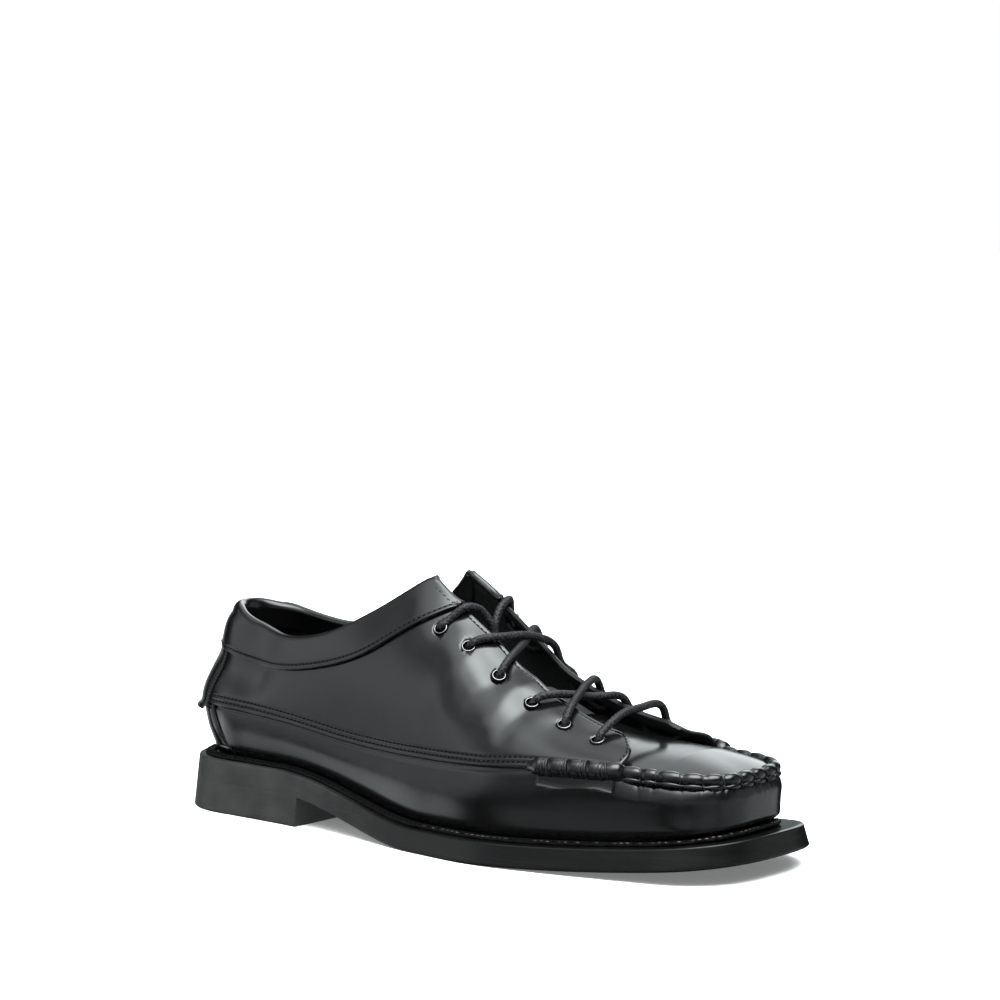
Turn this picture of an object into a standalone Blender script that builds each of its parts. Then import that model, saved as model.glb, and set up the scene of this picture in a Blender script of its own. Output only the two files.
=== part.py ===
"""Square-toed lace-up moccasin shoe for the right foot, built piece by piece.

Sizes are millimetres in the shoe's own frame while the shapes are worked out: x runs from the
heel back to the toe, y is negative on the lateral side, z is up from the floor. The pieces are
written in metres with the middle of the sole's box at the origin.
"""
from math import cos, pi, sin

import bmesh
import bpy
import numpy as np
from mathutils import Matrix, Vector

OBJECT_NAME = "square_toe_shoe"
MM = 0.001
GAP = 0.3
WELD = 0.01 * MM
LATERAL, MEDIAL = -1, 1
SIDES = ((LATERAL, "lateral"), (MEDIAL, "medial"))

# Sole
SOLE_LENGTH = 298.0
SOLE_THICKNESS = 9.4
SOLE_FLARE = 2.3
HEEL_LIFT = 13.4
HEEL_BREAST = 75.6
HEEL_LEVEL_END = 61.6
ARCH_END = 148.4
SPRING_START = 170.0
TOE_SPRING = 8.9
HEEL_AXIS = 36.0
TOE_AXIS = 262.0
HEEL_SQUARENESS = 2.4
TOE_SQUARENESS = 2.87
EDGE_BREAK = 0.6
SOLE_COLUMNS = ("x", "lateral", "medial")
SOLE_WIDTHS = (
    (36.0, 34.2, 35.0),
    (66.0, 36.7, 35.5),
    (110.0, 42.6, 33.5),
    (150.0, 50.5, 37.0),
    (185.0, 54.7, 44.5),
    (215.0, 51.5, 48.0),
    (240.0, 47.5, 46.2),
    (262.0, 43.6, 43.4),
)

# Welt, insole and the leather
WELT_HEIGHT = 2.5
WELT_COLUMNS = ("x", "inset")
WELT_INSETS = ((0.0, 3.0), (36.0, 3.0), (110.0, 3.0), (185.0, 4.6), (262.0, 6.2), (298.0, 8.2))
INSOLE_THICKNESS = 3.0
WALL = 1.8
QUARTER_WALL = 1.6
QUARTER_LAP = 1.0
OVERLAY = 1.2
OVERLAY_GAP = 0.5

# Upper: a row for each section along the sole. Insets are from the sole's top edge, radii from
# the middle line (from the turning axis at heel and toe), heights from the floor.
SECTION_COLUMNS = ("x", "foot_in", "bulge_in", "bulge_z", "panel_in", "panel_z",
                   "mid_r", "mid_z", "crest_r", "crest_z")
SECTIONS = (
    (0.0, 9.0, 5.4, 37.0, 4.6, 45.0, 26.5, 69.0, 22.5, 95.0),
    (8.0, 8.6, 5.0, 37.0, 4.4, 45.0, 25.2, 68.5, 20.0, 95.0),
    (36.0, 7.5, 3.6, 36.5, 3.2, 44.7, 23.2, 65.7, 13.5, 92.0),
    (66.0, 6.6, 2.8, 35.0, 2.6, 43.0, 29.2, 65.2, 20.0, 90.0),
    (110.0, 7.5, 3.6, 31.0, 4.0, 38.3, 31.6, 76.0, 18.0, 103.0),
    (131.0, 8.0, 4.5, 28.5, 5.2, 37.3, 28.0, 86.5, 9.0, 111.8),
    (150.0, 8.5, 5.0, 27.0, 6.0, 37.3, 25.0, 87.6, 10.0, 98.6),
    (185.0, 9.0, 5.2, 25.5, 6.2, 39.0, 26.5, 68.2, 11.0, 73.6),
    (215.0, 9.0, 5.4, 25.5, 6.0, 41.5, 28.0, 55.8, 13.0, 60.0),
    (240.0, 9.2, 5.8, 26.5, 6.2, 42.0, 30.0, 50.2, 16.0, 53.8),
    (262.0, 9.8, 6.4, 27.5, 6.8, 41.5, 26.0, 46.5, 14.0, 48.5),
    (298.0, 12.2, 7.9, 29.5, 8.6, 39.8, 19.0, 43.0, 10.0, 45.0),
)
TUCK_START = 170.0
TUCK_END = 240.0
MEDIAL_TUCK = 3.0
DROP_COLUMNS = ("x", "panel", "mid", "crest")
MEDIAL_DROP = (
    (110.0, 0.0, 0.0, 0.0),
    (150.0, 0.0, 3.2, 0.8),
    (185.0, 0.5, 4.6, 2.2),
    (215.0, 1.2, 2.4, 0.6),
    (240.0, 1.5, 0.8, 0.0),
    (262.0, 1.5, 0.0, 0.0),
    (298.0, 0.0, 0.0, 0.0),
)
# Levels of a section: its welt point, panel edge and crest, and the rows of the two walls
WELT_TOP, PANEL, CREST = 1, 3, 5
SIDE_LEVELS = (0.0, 1.0, 1.5, 2.0, 2.5, 3.12)
QUARTER_SHARES = (0.0, 0.2, 0.4, 0.58, 0.75, 0.89, 1.0)
FLAP_COLUMNS = 8
COLLAR_FRONT = 131.5
COLLAR_COLUMNS = ("x", "z")
COLLAR_RIM = ((0.0, 87.0), (8.0, 87.0), (36.0, 83.3), (58.0, 79.4), (80.0, 82.2),
              (108.0, 94.7), (131.5, 111.0))
BAND_FRONT = 146.5
BAND_LOWER = ((0.0, 69.5), (8.0, 69.0), (36.0, 65.8), (58.0, 64.8), (80.0, 67.6),
              (106.0, 75.3), (134.0, 91.7), (148.0, 99.4))
THROAT_COLUMNS = ("x", "r")
THROAT_EDGE = ((131.5, 11.0), (147.5, 13.0), (181.0, 14.0), (210.0, 16.0), (228.0, 18.0))
FLAP_START = 166.0
FLAP_FRONT = 243.0
FLAP_CORNER = 15.0
FLAP_CORNER_FROM = 0.5
FLAP_CORNER_POWER = 2.9
BACKSTAY_TURN = 5 / 8
BACKSTAY_FOOT = WELT_TOP + 0.12
BACKSTAY_BREAK = 0.03
OVERLAY_ROWS = 4

# Toe plug, gathered seam, wrapped rolls and tongue
SEAM_START = 204.5
PLUG_START = 208.0
SEAM_IN = 2.6
SEAM_UP = 1.2
SEAM_RADIUS = 2.9
SEAM_PINCH = 0.72
SEAM_PITCH = 8.6
STEPS_PER_PITCH = 3
BULGE_POWER = 0.6
PLUG_POWER = 2.1
PLUG_SHARES = (-1.0, -0.75, -0.5, -0.25, 0.0, 0.25, 0.5, 0.75, 1.0)
PLUG_COLUMNS = ("x", "z")
PLUG_CREST = ((205.0, 60.6), (215.0, 57.8), (230.0, 54.6), (245.0, 52.0), (262.0, 49.0))
ROLL_START = 207.0
ROLL_END = 243.0
ROLL_RADIUS = 4.4
ROLL_PINCH = 0.8
ROLL_PITCH = 8.6
ROLL_OUT = 0.6
ROLL_UP = 1.4
CLEARANCE_DEPTH = 9.0
TAB_START = 210.0
TAB_END = 241.0
TAB_LOW = 2.5
TAB_HIGH = 3.08
TONGUE_BACK = 180.0
TONGUE_FRONT = 216.0
TONGUE_HALF_WIDTH = 19.0
TONGUE_CREST = ((178.0, 71.5), (190.0, 65.4), (205.0, 58.6), (218.0, 54.6))
TONGUE_FALL = 5.0
TONGUE_NARROWING = 0.35
TONGUE_GRID = (6, 9)

# Eyelets, counted from the top, and the lace
EYELET_COLUMNS = ("x", "r")
EYELETS = ((143.6, 24.0), (159.0, 25.0), (175.7, 26.0), (193.8, 27.0), (211.3, 28.0), (229.3, 29.0))
EYELET_FLANGE = 3.4
EYELET_BARREL = 2.75
EYELET_HOLE = 2.3
EYELET_HEIGHT = 0.8
EYELET_DEPTH = 1.4
EYELET_CUT = 6.0
EYELET_SIDES = 8
LACE_RADIUS = 1.5
LACE_CLEAR = 2.2
LACE_RISE = 3.8
LACE_LEAN = 1.6
LACE_POINTS = 13
LACE_EDGE_SHARE = 0.24
LACE_EDGE_GAP = 0.9
BAR_LIFT = 3.4
BAR_CROWN = 1.2
LACE_LAP = 0.9
END_EDGE = 149.0
END_INSIDE = {
    LATERAL: ((152.0, -7.0, 96.5), (155.0, -4.5, 91.0), (157.0, -4.0, 83.0), (158.0, -4.0, 75.0)),
    MEDIAL: ((150.0, 7.0, 95.0), (151.0, 3.0, 89.5), (152.0, 1.5, 82.0), (153.0, 1.5, 74.0)),
}

LEATHER = (0.012, 0.012, 0.013, 1.0)
RUBBER = (0.02, 0.02, 0.021, 1.0)
THREAD = (0.01, 0.01, 0.011, 1.0)
METAL = (0.16, 0.16, 0.165, 1.0)
INSOLE_COLOUR = (0.025, 0.024, 0.023, 1.0)


def smooth(knots, values, at):
    """Smooth curve through the values at the knots."""
    knots = np.asarray(knots, float)
    values = np.asarray(values, float)
    at = np.clip(np.asarray(at, float), knots[0], knots[-1])
    slopes = np.gradient(values, knots, axis=0)
    i = np.clip(np.searchsorted(knots, at, side="right") - 1, 0, len(knots) - 2)
    span = knots[i + 1] - knots[i]
    t = (at - knots[i]) / span
    if values.ndim > 1:
        t, span = t[:, None], span[:, None]
    start, end = values[i], values[i + 1]
    bend_in, bend_out = slopes[i] * span, slopes[i + 1] * span
    return (start * (1 + 2 * t) * (1 - t) ** 2 + bend_in * t * (1 - t) ** 2
            + end * t * t * (3 - 2 * t) + bend_out * t * t * (t - 1))


def column(table, names, name, x):
    """Value of one named column of a table at x."""
    rows = np.asarray(table, float)
    return float(smooth(rows[:, 0], rows[:, names.index(name)], x))


def sole_half_width(x, side):
    return column(SOLE_WIDTHS, SOLE_COLUMNS, "lateral" if side == LATERAL else "medial", x)


def sole_lift(x):
    """Height of the outsole's bottom over the floor."""
    t = np.clip((x - HEEL_LEVEL_END) / (ARCH_END - HEEL_LEVEL_END), 0, 1)
    s = np.clip((x - SPRING_START) / (SOLE_LENGTH - SPRING_START), 0, None)
    return HEEL_LIFT * (1 - t * t * (3 - 2 * t)) + TOE_SPRING * s * s


def sole_top(x):
    return sole_lift(x) + SOLE_THICKNESS


def base(station, side):
    """Axis point, outward direction, radius and sole x of the section at a station.

    Stations 0 to 1 turn round the heel axis, 1 to 2 run along the sole, 2 to 3 turn round the toe.
    """
    if station <= 1:
        turn = station * pi / 2
        half = sole_half_width(HEEL_AXIS, side)
        x = HEEL_AXIS - HEEL_AXIS * max(cos(turn), 0) ** (2 / HEEL_SQUARENESS)
        y = half * sin(turn) ** (2 / HEEL_SQUARENESS)
        axis = HEEL_AXIS
    elif station < 2:
        x = HEEL_AXIS + (TOE_AXIS - HEEL_AXIS) * (station - 1)
        y = sole_half_width(x, side)
        axis = x
    else:
        turn = (3 - station) * pi / 2
        length = SOLE_LENGTH - TOE_AXIS
        half = sole_half_width(TOE_AXIS, side)
        step = 1.0
        taper = (half - sole_half_width(TOE_AXIS - step, side)) / step
        forward = length * max(cos(turn), 0) ** (2 / TOE_SQUARENESS)
        x = TOE_AXIS + forward
        y = (half + taper * forward) * max(sin(turn), 0) ** (2 / TOE_SQUARENESS)
        axis = TOE_AXIS
    out = np.array([x - axis, side * y])
    radius = float(np.hypot(*out))
    return np.array([axis, 0.0]), out / radius, radius, x


def tuck_share(station, side):
    """How far the medial toe's tuck is grown: none on the lateral side and at the toe's middle."""
    if side == LATERAL:
        return 0.0
    x = base(station, side)[3]
    t = np.clip((x - TUCK_START) / (TUCK_END - TUCK_START), 0, 1)
    turn = sin((3 - station) * pi / 2) if station > 2 else 1.0
    return t * t * (3 - 2 * t) * turn


def foot_inset(station, side):
    """Distance of the upper's foot from the sole's top edge."""
    x = base(station, side)[3]
    return column(SECTIONS, SECTION_COLUMNS, "foot_in", x) + MEDIAL_TUCK * tuck_share(station, side)


def station_of(x):
    """Station of a section between the two axes."""
    return 1 + (x - HEEL_AXIS) / (TOE_AXIS - HEEL_AXIS)


def section(station, side):
    """Section of the upper's outer face: its axis, direction, knots and points (radius, height)."""
    axis, out, radius, x = base(station, side)
    row = {name: column(SECTIONS, SECTION_COLUMNS, name, x) for name in SECTION_COLUMNS[1:]}
    foot = radius - foot_inset(station, side)
    side_r = radius - MEDIAL_TUCK * tuck_share(station, side)
    drop = {name: 0.0 if side == LATERAL else column(MEDIAL_DROP, DROP_COLUMNS, name, x)
            for name in DROP_COLUMNS[1:]}
    top = sole_top(x)
    points = np.array([
        (foot, top + GAP),
        (foot + GAP, top + WELT_HEIGHT + 2 * GAP),
        (side_r - row["bulge_in"], row["bulge_z"]),
        (side_r - row["panel_in"], row["panel_z"] - drop["panel"]),
        (row["mid_r"], row["mid_z"] - drop["mid"]),
        (row["crest_r"], row["crest_z"] - drop["crest"]),
    ])
    steps = np.hypot(*np.diff(points, axis=0).T)
    return axis, out, np.concatenate(([0], np.cumsum(steps))), points


def wall_points(station, side, levels):
    """Points of the upper's outer face at a station, level 0 at the foot and 5 at the crest."""
    axis, out, knots, points = section(station, side)
    at = np.interp(levels, range(len(knots)), knots)
    radial = smooth(knots, points, at)
    return np.column_stack((axis[0] + out[0] * radial[:, 0], out[1] * radial[:, 0], radial[:, 1]))


def wall(station, side, level, offset=0.0):
    """One point of the upper's outer face, moved out along the face's normal by an offset."""
    small = 0.004
    along = station - small if station > 3 - small else station
    point, above = wall_points(station, side, [level, level + small])
    start, = wall_points(along, side, [level])
    end, = wall_points(along + small, side, [level])
    normal = np.cross(end - start, above - point) * -side
    return point + normal / np.linalg.norm(normal) * offset


def wall_normal(station, side, level):
    return wall(station, side, level, 1.0) - wall(station, side, level)


def level_at(station, side, value, axis):
    """Level over the panel edge where the section reaches a radius (axis 0) or height (axis 1)."""
    _, _, knots, points = section(station, side)
    levels = np.linspace(PANEL, CREST, 120)
    values = smooth(knots, points, np.interp(levels, range(len(knots)), knots))[:, axis]
    order = np.argsort(values)
    return float(np.interp(value, values[order], levels[order]))


def rim_level(station, side):
    """Level of the collar's rim, or of the throat's edge further forward."""
    x = base(station, side)[3]
    if x <= COLLAR_FRONT:
        return level_at(station, side, column(COLLAR_RIM, COLLAR_COLUMNS, "z", x), 1)
    return level_at(station, side, column(THROAT_EDGE, THROAT_COLUMNS, "r", x), 0)


def band_level(station, side):
    x = base(station, side)[3]
    return level_at(station, side, column(BAND_LOWER, COLLAR_COLUMNS, "z", x), 1)


def sole_centre():
    """Middle of the sole's box in plan."""
    widths = [[sole_half_width(x, side) for x in np.linspace(HEEL_AXIS, TOE_AXIS, 400)]
              for side in (LATERAL, MEDIAL)]
    return np.array([SOLE_LENGTH / 2, (max(widths[1]) - max(widths[0])) / 2, 0.0])


CENTRE = sole_centre()


def place(point):
    """A point of the shoe's frame in metres, with the sole's middle at the origin."""
    return Vector((np.asarray(point, float) - CENTRE) * MM)


def material(name, colour, roughness, metallic=0.0):
    made = bpy.data.materials.get(name) or bpy.data.materials.new(name)
    made.use_nodes = True
    shader = made.node_tree.nodes["Principled BSDF"]
    shader.inputs["Base Color"].default_value = colour
    shader.inputs["Roughness"].default_value = roughness
    shader.inputs["Metallic"].default_value = metallic
    return made


def collection(name):
    made = bpy.data.collections.new(name)
    bpy.context.scene.collection.children.link(made)
    return made


def add_object(name, data, look=None, cutter=False):
    made = bpy.data.objects.new(name, data)
    (CUTTERS if cutter else PIECES).objects.link(made)
    if cutter:
        made.hide_render = True
        made.display_type = "WIRE"
    if look is not None:
        data.materials.append(look)
    return made


def finish_mesh(name, bm):
    """Mesh of a bmesh with its doubles merged and its faces pointing out."""
    bmesh.ops.remove_doubles(bm, verts=bm.verts, dist=WELD)
    bmesh.ops.dissolve_degenerate(bm, edges=bm.edges, dist=WELD / 10)
    bmesh.ops.recalc_face_normals(bm, faces=bm.faces)
    mesh = bpy.data.meshes.new(name)
    bm.to_mesh(mesh)
    bm.free()
    mesh.shade_smooth()
    mesh.set_sharp_from_angle(angle=pi / 5)
    return mesh


def grid(rows):
    """A bmesh grid with its points moved to rows of points."""
    bm = bmesh.new()
    bmesh.ops.create_grid(bm, x_segments=len(rows[0]) - 1, y_segments=len(rows) - 1, size=1.0)
    bm.verts.ensure_lookup_table()
    for vert, point in zip(bm.verts, (point for row in rows for point in row)):
        vert.co = place(point)
    return bm


def loft(name, sections, caps=False):
    """Closed solid through closed sections; a cap fills each open end."""
    bm = grid([list(points) + [points[0]] for points in sections])
    bmesh.ops.remove_doubles(bm, verts=bm.verts, dist=WELD)
    if caps:
        bmesh.ops.holes_fill(bm, edges=[edge for edge in bm.edges if edge.is_boundary], sides=0)
    return finish_mesh(name, bm)


def shell(name, rows, thickness, look=None, cutter=False):
    """Open sheet through rows of points, thickened inwards from its outer face."""
    bm = grid(rows)
    bmesh.ops.remove_doubles(bm, verts=bm.verts, dist=WELD)
    bmesh.ops.recalc_face_normals(bm, faces=bm.faces)
    up = sum((face.normal.z * face.calc_area() for face in bm.faces), 0.0)
    out = sum((face.normal.dot(face.calc_center_median()) * face.calc_area() for face in bm.faces), 0.0)
    if (out if abs(out) > abs(up) * 0.01 else up) < 0:
        bmesh.ops.reverse_faces(bm, faces=bm.faces)
    mesh = bpy.data.meshes.new(name)
    bm.to_mesh(mesh)
    bm.free()
    mesh.shade_smooth()
    made = add_object(name, mesh, look, cutter)
    thick = made.modifiers.new("wall", "SOLIDIFY")
    thick.thickness = thickness * MM
    thick.offset = -1.0
    thick.use_even_offset = True
    return made


def boolean(target, operand, operation):
    cut = target.modifiers.new(operation.lower() + "_" + operand.name, "BOOLEAN")
    cut.operation = operation
    cut.object = operand
    cut.solver = "EXACT"
    cut.use_self = True


def tube(name, points, radius, look=None, cutter=False, scales=None, roundness=2):
    """Round tube through points, as a curve with filled ends."""
    data = bpy.data.curves.new(name, "CURVE")
    data.dimensions = "3D"
    data.bevel_depth = radius * MM
    data.bevel_resolution = roundness
    data.use_fill_caps = True
    spline = data.splines.new("POLY")
    spline.points.add(len(points) - 1)
    for i, point in enumerate(points):
        spline.points[i].co = place(point).to_4d()
        spline.points[i].radius = 1.0 if scales is None else scales[i]
    return add_object(name, data, look, cutter)


def as_mesh(made):
    """Replace a curve object by a mesh object of the same name with its caps welded."""
    name = made.name
    cutter = made.name in CUTTERS.objects
    bpy.context.view_layer.update()
    mesh = bpy.data.meshes.new_from_object(made.evaluated_get(bpy.context.evaluated_depsgraph_get()))
    curve = made.data
    bpy.data.objects.remove(made)
    bpy.data.curves.remove(curve)
    bm = bmesh.new()
    bm.from_mesh(mesh)
    bmesh.ops.remove_doubles(bm, verts=bm.verts, dist=WELD / 10)
    bmesh.ops.recalc_face_normals(bm, faces=bm.faces)
    bm.to_mesh(mesh)
    bm.free()
    mesh.name = name
    return add_object(name, mesh, None, cutter)


def sample(points, count):
    """Evenly spaced points on a smooth curve through points."""
    points = np.asarray(points, float)
    knots = np.concatenate(([0], np.cumsum(np.linalg.norm(np.diff(points, axis=0), axis=1))))
    fine = smooth(knots, points, np.linspace(0, knots[-1], 200))
    run = np.concatenate(([0], np.cumsum(np.linalg.norm(np.diff(fine, axis=0), axis=1))))
    at = np.linspace(0, run[-1], count)
    return np.column_stack([np.interp(at, run, fine[:, i]) for i in range(3)])


HEEL_TURNS = [i / 8 for i in range(9)]
MARKS = [station_of(x) for x in (COLLAR_FRONT, BAND_FRONT, TAB_START, TAB_END)]
SOLE_RUN = sorted([1 + i / 15 for i in range(1, 15)] + MARKS)
TOE_TURNS = [2 + i / 11 for i in range(12)]
STATIONS = HEEL_TURNS + SOLE_RUN + TOE_TURNS


def round_the_shoe(stations):
    """Stations and sides once round the shoe, from the heel back along the lateral side."""
    ends = [(s, MEDIAL) for s in reversed(stations)]
    return [(s, LATERAL) for s in stations] + (ends[1:] if stations[-1] == 3 else ends)


def rim_point(station, side, inset, z):
    """Point in plan at an inset from the sole's top edge."""
    axis, out, radius, _ = base(station, side)
    return np.array([axis[0] + out[0] * (radius - inset), out[1] * (radius - inset), z])


def sole_flare(x):
    """Share of the side's flare that falls on the outsole's own edge."""
    return SOLE_FLARE * SOLE_THICKNESS / (SOLE_THICKNESS + sole_lift(min(x, ARCH_END)))


def sole_section(station, lateral, medial=None):
    """Closed section across the sole from heights and insets, down one edge and up the other."""
    down = [rim_point(station, LATERAL, inset, z) for z, inset in lateral]
    return down + [rim_point(station, MEDIAL, inset, z) for z, inset in reversed(medial or lateral)]


def build_outsole():
    sections = []
    for station in STATIONS:
        x = base(station, LATERAL)[3]
        flare = sole_flare(x)
        top, low = sole_top(x), sole_lift(x)
        sections.append(sole_section(station, (
            (top, EDGE_BREAK), (top - EDGE_BREAK, 0.0),
            (low + EDGE_BREAK, -flare), (low, EDGE_BREAK - flare))))
    add_object("outsole", loft("outsole", sections), material("outsole_rubber", RUBBER, 0.5))


def build_heel():
    breast = station_of(HEEL_BREAST)
    sections = []
    for station in [s for s in STATIONS if s < breast - 0.01] + [breast]:
        x = base(station, LATERAL)[3]
        flare = sole_flare(x)
        sections.append(sole_section(station, (
            (sole_lift(x) - GAP, EDGE_BREAK - flare), (sole_lift(x) - GAP - EDGE_BREAK, -flare),
            (EDGE_BREAK, -SOLE_FLARE), (0.0, EDGE_BREAK - SOLE_FLARE))))
    add_object("heel", loft("heel", sections, caps=True), material("heel_rubber", RUBBER, 0.5))


def build_welt():
    sections = []
    for station, side in round_the_shoe(STATIONS):
        x = base(station, side)[3]
        outer = column(WELT_INSETS, WELT_COLUMNS, "inset", x) + MEDIAL_TUCK * tuck_share(station, side)
        inner = foot_inset(station, side) - 2 * GAP
        low, high = sole_top(x) + GAP, sole_top(x) + WELT_HEIGHT
        sections.append([rim_point(station, side, inset, z) for inset, z in (
            (outer, low), (outer, high), (inner, high - GAP), (inner, low))])
    add_object("welt", loft("welt", sections), material("welt_leather", RUBBER, 0.6))


def build_insole():
    sections = []
    for station in STATIONS:
        x = base(station, LATERAL)[3]
        low = sole_top(x) + GAP
        edges = []
        for side, _ in SIDES:
            inset = foot_inset(station, side) + WALL + 2 * GAP
            edges.append(((low + INSOLE_THICKNESS, inset), (low, inset)))
        sections.append(sole_section(station, *edges))
    add_object("insole", loft("insole", sections), material("insole_leather", INSOLE_COLOUR, 0.7))


def seam_base(station, side):
    """Axis, direction, radius and height of the gathered seam's middle."""
    axis, out, _, points = section(station, side)
    return axis, out, points[PANEL][0] - SEAM_IN, points[PANEL][1] + SEAM_UP


def seam_point(station, side):
    axis, out, radius, z = seam_base(station, side)
    return np.array([axis[0] + out[0] * radius, out[1] * radius, z])


def plug_point(station, side, share):
    """Point of the toe plug's outer face, share 0 on the middle line and 1 at the seam."""
    axis, out, radius, z = seam_base(station, side)
    crest = column(PLUG_CREST, PLUG_COLUMNS, "z", axis[0])
    reach = radius * share
    return np.array([axis[0] + out[0] * reach, out[1] * reach, z + (crest - z) * (1 - share ** PLUG_POWER)])


def bulged(points, radius_share, pitch):
    """Points and radius shares along a path that bulges once each pitch."""
    points = np.asarray(points, float)
    length = np.linalg.norm(np.diff(points, axis=0), axis=1).sum()
    bulges = round(length / pitch)
    path = sample(points, bulges * STEPS_PER_PITCH + 1)
    waves = np.abs(np.sin(np.arange(len(path)) / STEPS_PER_PITCH * pi)) ** BULGE_POWER
    return path, radius_share + (1 - radius_share) * waves


def quarter_rows(offset):
    """Rows of points up the quarters from the panel edge to the rim, round from flap to flap."""
    flap = station_of(FLAP_START)
    back = [s for s in STATIONS if s < flap - 0.01]
    rows = []
    for share in QUARTER_SHARES:
        corner = max(0.0, (share - FLAP_CORNER_FROM) / (1 - FLAP_CORNER_FROM)) ** FLAP_CORNER_POWER
        front = station_of(FLAP_FRONT - FLAP_CORNER * corner)
        stations = back + [flap + (front - flap) * i / FLAP_COLUMNS for i in range(FLAP_COLUMNS + 1)]
        ring = [(s, LATERAL) for s in reversed(stations)] + [(s, MEDIAL) for s in stations[1:]]
        rows.append([wall(s, side, PANEL + (rim_level(s, side) - PANEL) * share, offset)
                     for s, side in ring])
    return rows


def side_rows(offset):
    """Rows of points up the side wall from its foot to over the panel edge, all round."""
    ring = round_the_shoe(STATIONS)
    return [[wall(s, side, level, offset) for s, side in ring] for level in SIDE_LEVELS]


def seam_path():
    start = station_of(SEAM_START)
    run = [start] + [s for s in STATIONS if s > start + 0.02]
    return [seam_point(s, side) for s, side in [(s, LATERAL) for s in run]
            + [(s, MEDIAL) for s in reversed(run[:-1])]]


def build_upper():
    leather = material("upper_leather", LEATHER, 0.22)
    upper = shell("upper", side_rows(0.0), WALL, leather)
    quarters = shell("quarters_form", quarter_rows(QUARTER_LAP), QUARTER_WALL, None, True)
    start = station_of(PLUG_START)
    run = [start] + [s for s in STATIONS if s > start + 0.02]
    rows = [[plug_point(s, LATERAL if share < 0 else MEDIAL, abs(share)) for share in PLUG_SHARES]
            for s in run]
    plug = shell("plug_form", rows, WALL, None, True)
    path, scales = bulged(seam_path(), SEAM_PINCH, SEAM_PITCH)
    seam = as_mesh(tube("seam_form", path, SEAM_RADIUS, None, True, scales, 1))
    for form in (plug, seam, quarters):
        boolean(upper, form, "UNION")
    boolean(upper, eyelet_holes(), "DIFFERENCE")


def eyelet_frame(number, side):
    """Matrix in metres that stands on the quarter's face at an eyelet."""
    x, radius = EYELETS[number]
    station = station_of(x)
    level = level_at(station, side, radius, 0)
    normal = Vector(wall_normal(station, side, level)).normalized()
    turn = normal.to_track_quat("Z", "Y").to_matrix().to_4x4()
    return Matrix.Translation(place(wall(station, side, level, QUARTER_LAP))) @ turn


def eyelet_holes():
    """Round cutters through the quarters, one for each eyelet, as one object."""
    bm = bmesh.new()
    for side, _ in SIDES:
        for number in range(len(EYELETS)):
            bmesh.ops.create_cone(bm, cap_ends=True, segments=EYELET_SIDES, depth=EYELET_CUT * MM,
                                  radius1=(EYELET_BARREL + GAP) * MM, radius2=(EYELET_BARREL + GAP) * MM,
                                  matrix=eyelet_frame(number, side))
    mesh = bpy.data.meshes.new("eyelet_holes")
    bm.to_mesh(mesh)
    bm.free()
    return add_object("eyelet_holes", mesh, None, True)


def build_eyelets():
    """A turned flange on the leather with a barrel through its hole."""
    look = material("eyelet_metal", METAL, 0.3, 1.0)
    profile = ((EYELET_HOLE, EYELET_HEIGHT + GAP), (EYELET_FLANGE, GAP), (EYELET_BARREL, GAP),
               (EYELET_BARREL, -EYELET_DEPTH), (EYELET_HOLE, -EYELET_DEPTH))
    bm = bmesh.new()
    ring = [bm.verts.new((r * MM, 0, z * MM)) for r, z in profile]
    edges = [bm.edges.new((ring[i], ring[(i + 1) % len(ring)])) for i in range(len(ring))]
    bmesh.ops.spin(bm, geom=ring + edges, cent=(0, 0, 0), axis=(0, 0, 1), angle=2 * pi,
                   steps=EYELET_SIDES, use_merge=True)
    mesh = finish_mesh("eyelet", bm)
    mesh.materials.append(look)
    for side, side_name in SIDES:
        for number in range(len(EYELETS)):
            made = add_object(f"eyelet_{side_name}_{number + 1}", mesh)
            made.matrix_world = eyelet_frame(number, side)


def overlay_rows(ring, low, high, offset, count=OVERLAY_ROWS):
    """Rows of points for a piece lapped on the wall between two levels given by functions."""
    shares = [i / count for i in range(count + 1)]
    return [[wall(s, side, low(s, side) + (high(s, side) - low(s, side)) * share, offset)
             for s, side in ring] for share in shares]


def build_collar_band():
    run = [s for s in STATIONS if s <= MARKS[1]]
    ring = [(s, LATERAL) for s in reversed(run)] + [(s, MEDIAL) for s in run[1:]]
    rows = overlay_rows(ring, band_level, rim_level, QUARTER_LAP + OVERLAY_GAP + OVERLAY)
    shell("collar_band", rows, OVERLAY, material("collar_leather", LEATHER, 0.24))


def build_backstay():
    run = [s for s in HEEL_TURNS if s <= BACKSTAY_TURN]
    ring = [(s, LATERAL) for s in reversed(run)] + [(s, MEDIAL) for s in run[1:]]
    look = material("backstay_leather", LEATHER, 0.24)
    rows = overlay_rows(ring, lambda s, side: PANEL + BACKSTAY_BREAK,
                        lambda s, side: band_level(s, side) - BACKSTAY_BREAK,
                        QUARTER_LAP + OVERLAY_GAP + OVERLAY)
    shell("backstay_upper", rows, OVERLAY, look)
    rows = overlay_rows(ring, lambda s, side: BACKSTAY_FOOT, lambda s, side: PANEL - BACKSTAY_BREAK,
                        OVERLAY_GAP + OVERLAY)
    shell("backstay_lower", rows, OVERLAY, look)


def roll_path(side):
    """Middle of the wrapped roll, over the panel edge."""
    path = []
    for x in np.linspace(ROLL_START, ROLL_END, 9):
        axis, out, _, points = section(station_of(x), side)
        radius = points[PANEL][0] + ROLL_OUT
        path.append((axis[0] + out[0] * radius, out[1] * radius, points[PANEL][1] + ROLL_UP))
    return path


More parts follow.
